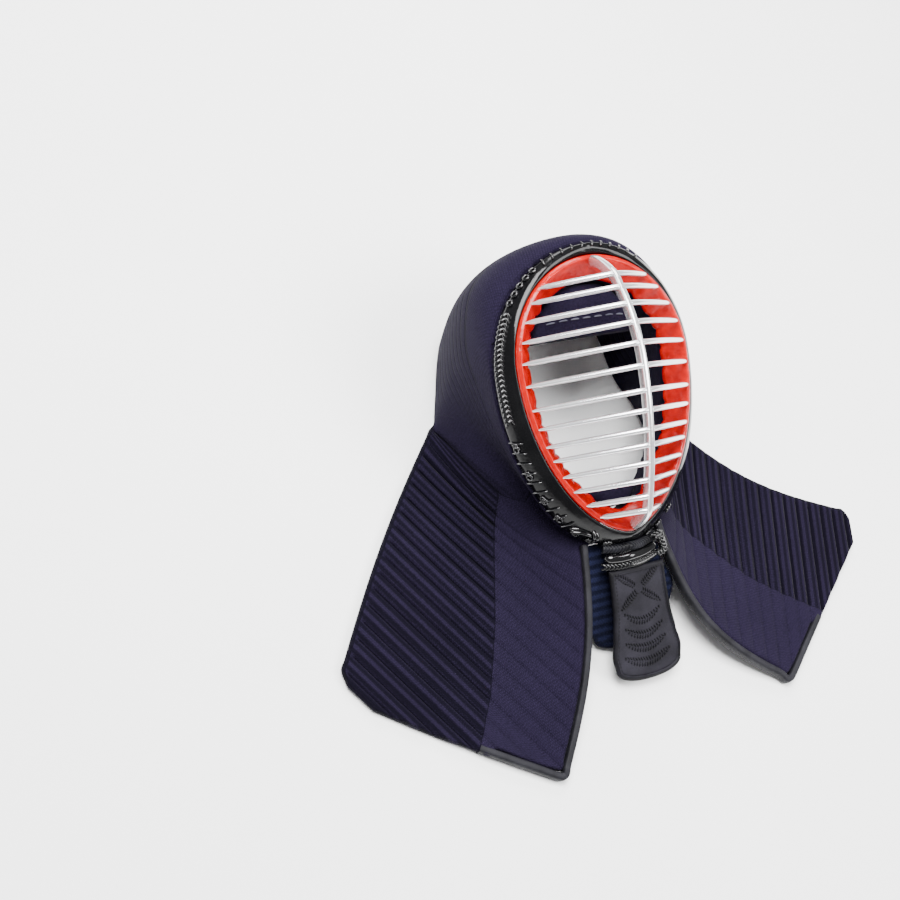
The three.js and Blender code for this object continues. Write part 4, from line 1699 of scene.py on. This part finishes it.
@dataclass
class SoftPads:
    """The cushion ring and the pads across its top and bottom."""

    voxel: float = 0.0028
    smoothing: int = 4
    tack_margin: float = 0.016
    tack_row: float = 0.013
    tack_length: float = 0.0075
    tack_gap: float = 0.004
    nodes: tuple[tuple[str, str], ...] = (
        ("face_cushion", "cushion_ring"), ("forehead_pad", "forehead_cloth"),
        ("chin_pad", "chin_cloth"))

    def build(self) -> None:
        """Copies each pad, rounds it by a fine remesh and smoothing, and dresses it."""
        cloth = QuiltFinish("navy_cloth", rows_sewn=0.0, stitch=0.0, hem=-1.0).build()
        for node, name in self.nodes:
            clear_selection()
            piece = bpy.data.objects.new(name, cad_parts[node].data.copy())
            bpy.context.scene.collection.objects.link(piece)
            mend(piece)
            remesh = piece.modifiers.new("voxel", "REMESH")
            remesh.voxel_size = self.voxel
            soften = piece.modifiers.new("soften", "SMOOTH")
            soften.iterations = self.smoothing
            finish_modifiers(piece)
            smooth(piece, 80)
            settle(piece, cloth, Slot.QUILT, [node])
            if node == "forehead_pad":
                self.build_stitches(piece)

    def build_stitches(self, pad: bpy.types.Object) -> None:
        """A row of pale tacking stitches that follows the forehead pad's lower edge.

        Args:
            pad: the finished pad.
        """
        shape = bmesh.new()
        shape.from_mesh(pad.data)
        tree = BVHTree.FromBMesh(shape)
        low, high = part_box("forehead_pad")
        runs = []
        x = low[0] + self.tack_margin
        while x < high[0] - self.tack_margin:
            run = []
            for k in range(4):
                above = Vector((x + self.tack_length * k / 3, low[1] + self.tack_row, 1.0))
                spot, *_ = tree.ray_cast(above, Vector((0, 0, -1)))
                if spot is not None:
                    run.append(np.array(spot) + np.array([0, 0, 0.0002 + 0.0005 * (k in (1, 2))]))
            if len(run) == 4:
                runs.append(run)
            x += self.tack_length + self.tack_gap
        shape.free()
        thread = HideFinish("pale_thread", (0.055, 0.055, 0.075), (0.11, 0.11, 0.14), 0.8).build()
        settle(skin_cords("forehead_stitches", runs, 0.0008), thread, Slot.CORD)


def plate(outline: Callable[[float], float], length: float, wall: float, rows: int,
          columns: int, border: float, proud: float) -> tuple[Rows, Rows, Rows]:
    """A flat padded plate with a raised border, in its own plane.

    Args:
        outline: half width at a share of the length.
        length: from top to tip.
        wall: thickness.
        rows: points down it.
        columns: points across it.
        border: width of the border.
        proud: how far the border stands up.

    Returns:
        Its outer and its inner surface, as x, distance down and height above the middle of the
        wall, and how far each point lies from its edge.
    """
    start, crowding = 0.012, 0.45
    down = np.concatenate([np.linspace(0, start, 4)[:-1], start + (1 - start) * np.sin(
        np.linspace(0, math.pi / 2, rows))])
    across = ((1 - crowding) * np.linspace(-1, 1, columns)
              + crowding * np.sin(np.linspace(-math.pi / 2, math.pi / 2, columns)))
    half = np.array([outline(s) for s in down])
    flat = np.stack([half[:, None] * across[None, :],
                     np.repeat((down * length)[:, None], columns, axis=1)], axis=2)
    edge = np.concatenate([flat[0], flat[1:, -1], flat[-1, ::-1], flat[::-1, 0]])
    away = np.full(flat.shape[:2], 1e9)
    for p, q in zip(edge, np.roll(edge, -1, axis=0)):
        step = q - p
        size = float(step.dot(step)) + 1e-9
        t = np.clip(((flat - p) @ step) / size, 0, 1)
        away = np.minimum(away, np.linalg.norm(flat - p - t[..., None] * step, axis=2))
    turn = np.clip(away / (wall / 2), 0, 1)
    round_in = np.sqrt(1 - (1 - turn) ** 2)
    raised = proud * np.clip((border - away) / 0.5, 0, 1)
    groove = 0.5 * np.exp(-((away - border - 0.6) / 0.5) ** 2)
    top = (wall / 2 - proud) * round_in + (raised - groove) * turn
    under = -wall / 2 * round_in
    return (np.concatenate([flat, top[..., None]], axis=2),
            np.concatenate([flat, under[..., None]], axis=2), away)


@dataclass
class ThroatGuards:
    """The embroidered leather guard and the ribbed indigo one behind it."""

    width: float = 70.0
    length: float = 99.0
    wall: float = 5.0
    shift: float = 8.0
    inner_width: float = 104.0
    inner_shift: float = 7.0
    inner_length: float = 96.0
    inner_tuck: float = 25.0
    inner_rise: float = 2.0
    inner_wall: float = 6.0
    stack: float = 23.6
    stack_lean: float = 14.0
    table: tuple[tuple[float, float], ...] = (
        (0, 0.8), (0.2, 0.8), (0.4, 0.83), (0.6, 0.91), (0.76, 1), (0.88, 0.95), (0.95, 0.76),
        (0.985, 0.5), (1, 0.25))
    inner_table: tuple[tuple[float, float], ...] = (
        (0, 0.7), (0.22, 0.77), (0.5, 1), (0.75, 0.86), (0.9, 0.58), (1, 0.3))
    smiles: tuple[tuple[float, float, float, float], ...] = (
        (0.395, 0.475, 17.5, 3.6), (0.525, 0.602, 18.5, 3.8), (0.65, 0.715, 20.0, 4.0),
        (0.77, 0.84, 22.5, 4.4))
    cross: tuple[tuple[float, float, float, float], ...] = (
        (-21.5, 0.045, 19.5, 0.345), (19.0, 0.045, -21.0, 0.35))

    def top(self) -> np.ndarray:
        """Where the guard starts, below the chin's rows.

        Returns:
            The point, in millimetres.
        """
        lean = math.radians(self.stack_lean)
        end = FACE.round(180, FACE.band(180) + self.stack * math.cos(lean),
                         FACE.edge(180) - self.stack * math.sin(lean))
        return np.array([self.shift, end[1], end[2] - 2])

    def lay(self, points: Rows, top: np.ndarray, length: float, foot: float,
            wall: float) -> Rows:
        """Puts a plate's points where the plate lies.

        Args:
            points: in the plate's own plane.
            top: where it starts.
            length: from top to tip.
            foot: height of its tip.
            wall: its thickness.

        Returns:
            The points, in metres.
        """
        drop = top[2] - foot
        along = np.array([0, -math.sqrt(length ** 2 - drop ** 2), -drop]) / length
        face = np.cross(np.array([1.0, 0, 0]), along)
        face = face if face[2] > 0 else -face
        middle = top - face * wall / 2
        return FACE.shift(middle + points[..., :1] * np.array([1.0, 0, 0])
                          + points[..., 1:2] * along + points[..., 2:] * face)

    def build_plate(self, name: str, table: Sequence[tuple[float, float]], width: float,
                    length: float, wall: float, top: np.ndarray, foot: float, border: float,
                    ribs: float) -> bpy.types.Object:
        """One guard, with ribs that slant across it where their pitch isn't zero.

        Args:
            name: the piece's name.
            table: its width by the share of its length.
            width: at its widest.
            length: from top to tip.
            wall: its thickness.
            top: where it starts.
            foot: height of its tip.
            border: width of its raised border.
            ribs: their pitch, or 0.

        Returns:
            The new object.
        """
        def half_at(s: float) -> float:
            """Half the guard's width at a share of its length, round at the tip.

            Args:
                s: the share.

            Returns:
                The half width.
            """
            start = 0.86
            if s < start:
                return table_value(table, s, 1) * width / 2
            turn = min(1.0, (s - start) / (1.0 - start))
            return table_value(table, start, 1) * width / 2 * (1 - turn ** 2.3) ** (1 / 2.3)

        outer, inner, away = plate(half_at, length, wall, 76, 59, border, 0.9)
        if ribs:
            slant = (outer[..., 0] * 0.5 + outer[..., 1]) / ribs
            outer[..., 2] += 0.5 * np.abs(np.sin(slant * math.pi)) - 0.5
        sewing = outer[..., :2] * MM
        marks = np.zeros(outer.shape[:2] + (4,))
        marks[..., 0] = outer[..., 1] * MM
        marks[..., 3] = away * MM
        rows = Hood.close(self.lay(outer, top, length, foot, wall),
                          self.lay(inner, top, length, foot, wall))
        piece = skin_sheet(name, rows, Hood.close(sewing, sewing), Hood.close(marks, marks))
        smooth(piece, 60)
        return piece

    def stitches(self) -> list[list[tuple[float, float]]]:
        """The embroidery: each short stitch by its two ends, across and down the guard.

        Returns:
            The ends of each stitch, in millimetres.
        """
        runs = []
        for at, low, half, thick in self.smiles:
            count = int(half * 2 / 2.6)
            for k in range(count + 1):
                s = -1 + 2 * k / count
                y = (low + (at - low) * s * s) * self.length
                tall = thick * math.sqrt(max(0.0, 1.04 - s * s))
                lean = 1.5
                runs.append([(half * s - lean, y - tall), (half * s, y - 0.5)])
                runs.append([(half * s, y + 0.5), (half * s - lean, y + tall)])
        for x0, y0, x1, y1 in self.cross:
            a, b = np.array([x0, y0 * self.length]), np.array([x1, y1 * self.length])
            t = (b - a) / np.linalg.norm(b - a)
            n = np.array([-t[1], t[0]])
            count = int(np.linalg.norm(b - a) / 2.5)
            for k in range(count + 1):
                s = k / count
                if 0.42 < s < 0.58:
                    continue
                p = a + (b - a) * s
                tall = 3.4 * math.sqrt(max(0.0, abs(math.sin(math.tau * s))))
                runs.append([tuple(p + n * 0.4), tuple(p + n * tall - t * 1.6)])
                runs.append([tuple(p - n * 0.4), tuple(p - n * tall - t * 1.6)])
        return runs

    def build_embroidery(self, top: np.ndarray, foot: float) -> bpy.types.Object:
        """Raised slanted stitches.

        Args:
            top: where the guard starts.
            foot: height of its tip.

        Returns:
            The piece.
        """
        proud = self.wall / 2 - 0.7
        runs = []
        for (x0, y0), (x1, y1) in self.stitches():
            line = np.array([[x0 + (x1 - x0) * s, y0 + (y1 - y0) * s, proud + 0.55 * math.sin(
                math.pi * s)] for s in (0, 0.3, 0.7, 1)])
            runs.append(list(self.lay(line, top, self.length, foot, self.wall)))
        return skin_cords("guard_embroidery", runs, 0.00055)

    def build(self) -> None:
        """Builds and dresses both guards."""
        hide = HideFinish("charcoal_hide", band=0.0036).build()
        thread = HideFinish("black_thread", (0.0022, 0.0022, 0.003), (0.0060, 0.0057, 0.008),
                            0.5).build()
        indigo = QuiltFinish("indigo_ribs", (0.0022, 0.0028, 0.0085), (0.0115, 0.0135, 0.038),
                             hem=0.0024).build()
        top = self.top()
        foot = self.inner_wall + self.wall + 2
        guard = self.build_plate("throat_guard_hide", self.table, self.width, self.length,
                                 self.wall, top, foot, 3.6, 0)
        settle(guard, hide, Slot.HIDE, ["throat_guard"])
        settle(self.build_embroidery(top, foot), thread, Slot.CORD)
        behind = top + np.array([-self.inner_shift, self.inner_tuck, self.inner_rise])
        inner = self.build_plate("inner_guard_quilt", self.inner_table, self.inner_width,
                                 self.inner_length, self.inner_wall, behind,
                                 self.inner_wall + 1, 2.4, 4.2)
        settle(inner, indigo, Slot.INDIGO, ["inner_throat_guard"])


@dataclass
class Bindings:
    """Leather along each flap's front edge, round its corner and part of its bottom."""

    proud: float = 0.5
    gap: float = 0.4

    def section_rows(self, hood: Hood, flap: Flap) -> Rows:
        """Sections along the bound edge, rounded, with both ends closed.

        Args:
            hood: the sheet that it binds.
            flap: how the flap lies.

        Returns:
            The points of each section, in millimetres.
        """
        _, _, bound, chin, middle = hood.outline(flap)
        outside = hood.inset(bound, 0, middle)
        inside = hood.inset(bound, hood.binding, middle)
        last = len(bound) - 1
        for chain in (outside, inside):
            for end, following in ((0, 1), (last, last - 1)):
                step = chain[following] - chain[end]
                chain[end] = chain[end] + step / np.linalg.norm(step) * self.gap
        places = np.linspace(0, last, last * 6 + 1)
        spots = resample(np.array([outside, inside]), 1, places)
        rise = np.array([hood.rise(chin, p) for p in bound])
        rises = np.interp(places, np.arange(last + 1), rise)
        rows = []
        for a, b, up in zip(spots[0], spots[1], rises):
            top = hood.thickness + self.proud + up
            under = max(0.0, top - hood.thickness - self.proud)
            section = ((0, under + 1.2), (0, top - 2.2), (0.12, top - 0.7), (0.45, top),
                       (0.85, top - 0.1), (1, top - 0.9), (1, under + 0.4), (0.85, under),
                       (0.15, under))
            spans = [(a + (b - a) * share, z) for share, z in section]
            rows.append(rounded([np.array([flap.side * p[0], p[1], z]) for p, z in spans], 1))
        for end in (0, -1):
            middle_point = sum(rows[end]) / len(rows[end])
            cap = [middle_point] * len(rows[end])
            rows = [cap] + rows if end == 0 else rows + [cap]
        return np.array([row + [row[0]] for row in rows])

    def build(self, hood: Hood) -> None:
        """Builds and dresses both bindings.

        Args:
            hood: the sheet that they bind.
        """
        trim = HideFinish("binding_hide", (0.0062, 0.006, 0.008), (0.0150, 0.0145, 0.0185),
                          0.6).build()
        for flap, word in zip(hood.flaps, ("left", "right")):
            rows = self.section_rows(hood, flap)
            piece = skin_sheet(f"binding_{word}_hide", FACE.shift(rows))
            smooth(piece, 60)
            settle(piece, trim, Slot.HIDE, [f"flap_binding_{word}"])


@dataclass
class ChinRows:
    """Woven cord, glossy roll and braid under the chin, and the ties at their ends."""

    radii: tuple[float, float, float] = (4.2, 4.2, 2.6)
    spans: tuple[tuple[float, float], ...] = ((14, 19), (12, 17), (12, 17))
    gap: float = 0.4
    lean: float = 14.0
    roll_ends: tuple[float, float] = (0.45, 0.8)

    def arc(self, row: int, count: int = 25) -> Rows:
        """Points along one row, in the part's layout, millimetres.

        Args:
            row: 0 for the cord, 1 for the roll, 2 for the braid.
            count: how many.

        Returns:
            The points, in millimetres.
        """
        lean = math.radians(self.lean)
        stacked = self.gap + sum(2 * r + self.gap for r in self.radii[:row]) + self.radii[row]
        left, right = self.spans[row]
        points = []
        for k in range(count):
            round_at = 180 + left + (-right - left) * k / (count - 1)
            degrees = round_at - 360 if round_at > 180 else round_at
            points.append(FACE.round(degrees, FACE.band(degrees) + stacked * math.cos(lean),
                                     FACE.edge(degrees) - stacked * math.sin(lean)))
        return np.array(points)

    def build(self) -> None:
        """Builds and dresses the rows and ties."""
        gloss = GlossFinish("black_roll", (0.0015, 0.0015, 0.002), (0.004, 0.004, 0.0045),
                            0.08, 0.0, 0.4, 60.0, 0.0006, 0.3).build()
        cord = HideFinish("black_cord", (0.004, 0.004, 0.005), (0.016, 0.016, 0.021), 0.4).build()
        woven = FACE.shift(self.arc(0))
        core = skin_rod("cord_core", woven, np.full((len(woven), 2), 0.0031), FACE.forward)
        strands = skin_cords("woven_cord", braid(woven, FACE.forward, 0.0033, 0.0030, 0.0029),
                             0.00095)
        settle(join("woven_cord", [strands, core]), cord, Slot.CORD, ["chin_cord"])
        arc = self.arc(1)
        share = np.ones((len(arc), 1))
        share[[0, 1, -2, -1], 0] = self.roll_ends + self.roll_ends[::-1]
        half = np.repeat(share * self.radii[1] * MM, 2, axis=1)
        piece = skin_rod("chin_roll_lacquer", FACE.shift(arc), half, FACE.forward, 28)
        settle(piece, gloss, Slot.LACQUER, ["chin_roll"])
        runs = braid(FACE.shift(self.arc(2)), FACE.forward, 0.0022, 0.0019, 0.0034)
        piece = skin_cords("braided_cord", runs, 0.0011)
        settle(piece, gloss, Slot.CORD, ["chin_braid"])
        settle(self.build_bundle(), gloss, Slot.CORD)
        settle(self.build_ties(), gloss, Slot.CORD)

    def build_bundle(self) -> bpy.types.Object:
        """The plaited end that runs round the roll's right end, from the cord to the braid.

        Returns:
            The piece.
        """
        first, roll, last = self.arc(0), self.arc(1), self.arc(2)
        right = np.array([1.0, 0, 0])
        knots = np.array([first[-4] + FACE.forward * 6.2,
                          first[-1] + right * 2 + FACE.forward * 6.2,
                          roll[-1] + right * 4.5 + FACE.forward * 5.2,
                          last[-1] + right * 2.5 + FACE.forward * 4.8,
                          last[-4] + FACE.forward * 4.4])
        line = resample(knots[:, None, :], 0, np.linspace(0, 4, 41))[:, 0, :]
        return skin_cords("chin_cord_end", braid(FACE.shift(line), FACE.forward, 0.0027, 0.0017,
                                                 0.0036), 0.0012)

    def build_ties(self) -> bpy.types.Object:
        """Two short ties over the left flap's chin corner, with a knot.

        Returns:
            The piece.
        """
        runs = []
        for over in (0.0, 3.4):
            knots = np.array([(-50, -89.5 - over, 68.5), (-42, -93 - over, 71),
                              (-34, -97 - over, 71), (-27, -100 - over, 67),
                              (-21, -102 - over, 60)])
            line = resample(knots[:, None, :], 0, np.linspace(0, 4, 25))[:, 0, :]
            runs.append(list(FACE.shift(line)))
        for turn in (0, 1):
            middle = np.array([-33.0 + 3.4 * turn, -99.5 - turn, 71 - 1.5 * turn])
            runs.append([FACE.shift(middle + np.array([
                0.4 * math.sin(w), 4.0 * math.cos(w), 3.2 * math.sin(w)]))
                for w in np.linspace(0, math.tau + 0.3, 13)])
        return skin_cords("chin_ties", runs, 0.0017)


@dataclass
class Studio:
    """Floor, soft lights and the camera at the photograph's angle."""

    place: tuple[float, float, float] = (-0.58722, -0.26166, 0.95589)
    right: tuple[float, float, float] = (0.89166, -0.31221, 0.32784)
    up: tuple[float, float, float] = (0.16425, 0.89792, 0.40837)
    back: tuple[float, float, float] = (-0.42187, -0.31028, 0.85191)
    lens: float = 50.187
    sensor: float = 36.0
    aim: tuple[float, float, float] = (0, 0, 0.08)
    sky: float = 0.48

    def build_floor(self) -> None:
        """A pale floor."""
        clear_selection()
        bpy.ops.mesh.primitive_plane_add(size=12, location=(0, 0, -0.0002))
        floor = new_piece("floor")
        bpy.ops.object.transform_apply(location=True, rotation=True, scale=True)
        shader = Shader("pale_floor")
        spot = shader.node("ShaderNodeTexCoord")
        soft = shader.node("ShaderNodeTexNoise", {"Vector": spot.outputs["Object"], "Scale": 3.0})
        colour = ramp(shader, soft.outputs["Fac"],
                      [(0.3, (0.95, 0.95, 0.95)), (0.7, (0.98, 0.98, 0.98))])
        shader.wear(Base_Color=colour, Roughness=0.9, Specular_IOR_Level=0.1)
        floor.data.materials.append(shader.material)

    def add_light(self, name: str, place: tuple[float, float, float], size: float,
                  power: float) -> None:
        """A square soft light that points at the helmet.

        Args:
            name: its name.
            place: where it stands, in metres.
            size: its side.
            power: in watts.
        """
        data = bpy.data.lights.new(name, "AREA")
        data.size = size
        data.energy = power
        lamp = bpy.data.objects.new(name, data)
        lamp.location = place
        towards = Vector(self.aim) - Vector(place)
        lamp.rotation_euler = towards.to_track_quat("-Z", "Y").to_euler()
        bpy.context.scene.collection.objects.link(lamp)

    def build(self) -> None:
        """Builds floor, lights, world and camera."""
        self.build_floor()
        self.add_light("key", (-0.5, 0.5, 2.0), 1.1, 138)
        self.add_light("fill", (1.0, -0.62, 1.8), 1.2, 72)
        self.add_light("rear", (0.3, 1.5, 1.3), 0.8, 36)
        world = bpy.data.worlds.new("studio")
        world.use_nodes = True
        back = world.node_tree.nodes["Background"]
        back.inputs["Color"].default_value = (1, 1, 1, 1)
        back.inputs["Strength"].default_value = self.sky
        bpy.context.scene.world = world
        data = bpy.data.cameras.new("photo")
        data.lens = self.lens
        data.sensor_width = self.sensor
        data.clip_start = 0.01
        camera = bpy.data.objects.new("photo", data)
        turned = Matrix((self.right, self.up, self.back)).transposed()
        camera.matrix_world = Matrix.Translation(self.place) @ turned.to_4x4()
        bpy.context.scene.collection.objects.link(camera)
        bpy.context.scene.camera = camera


def main() -> None:
    """Builds every piece in order."""
    logging.basicConfig(level=logging.INFO, format="%(name)s: %(message)s")
    Studio().build()
    Grille().build()
    LacquerFrame().build()
    Lacing().build()
    hood = Hood()
    hood.build()
    SoftPads().build()
    ThroatGuards().build()
    Bindings().build(hood)
    ChinRows().build()


if __name__ == "__main__":
    main()
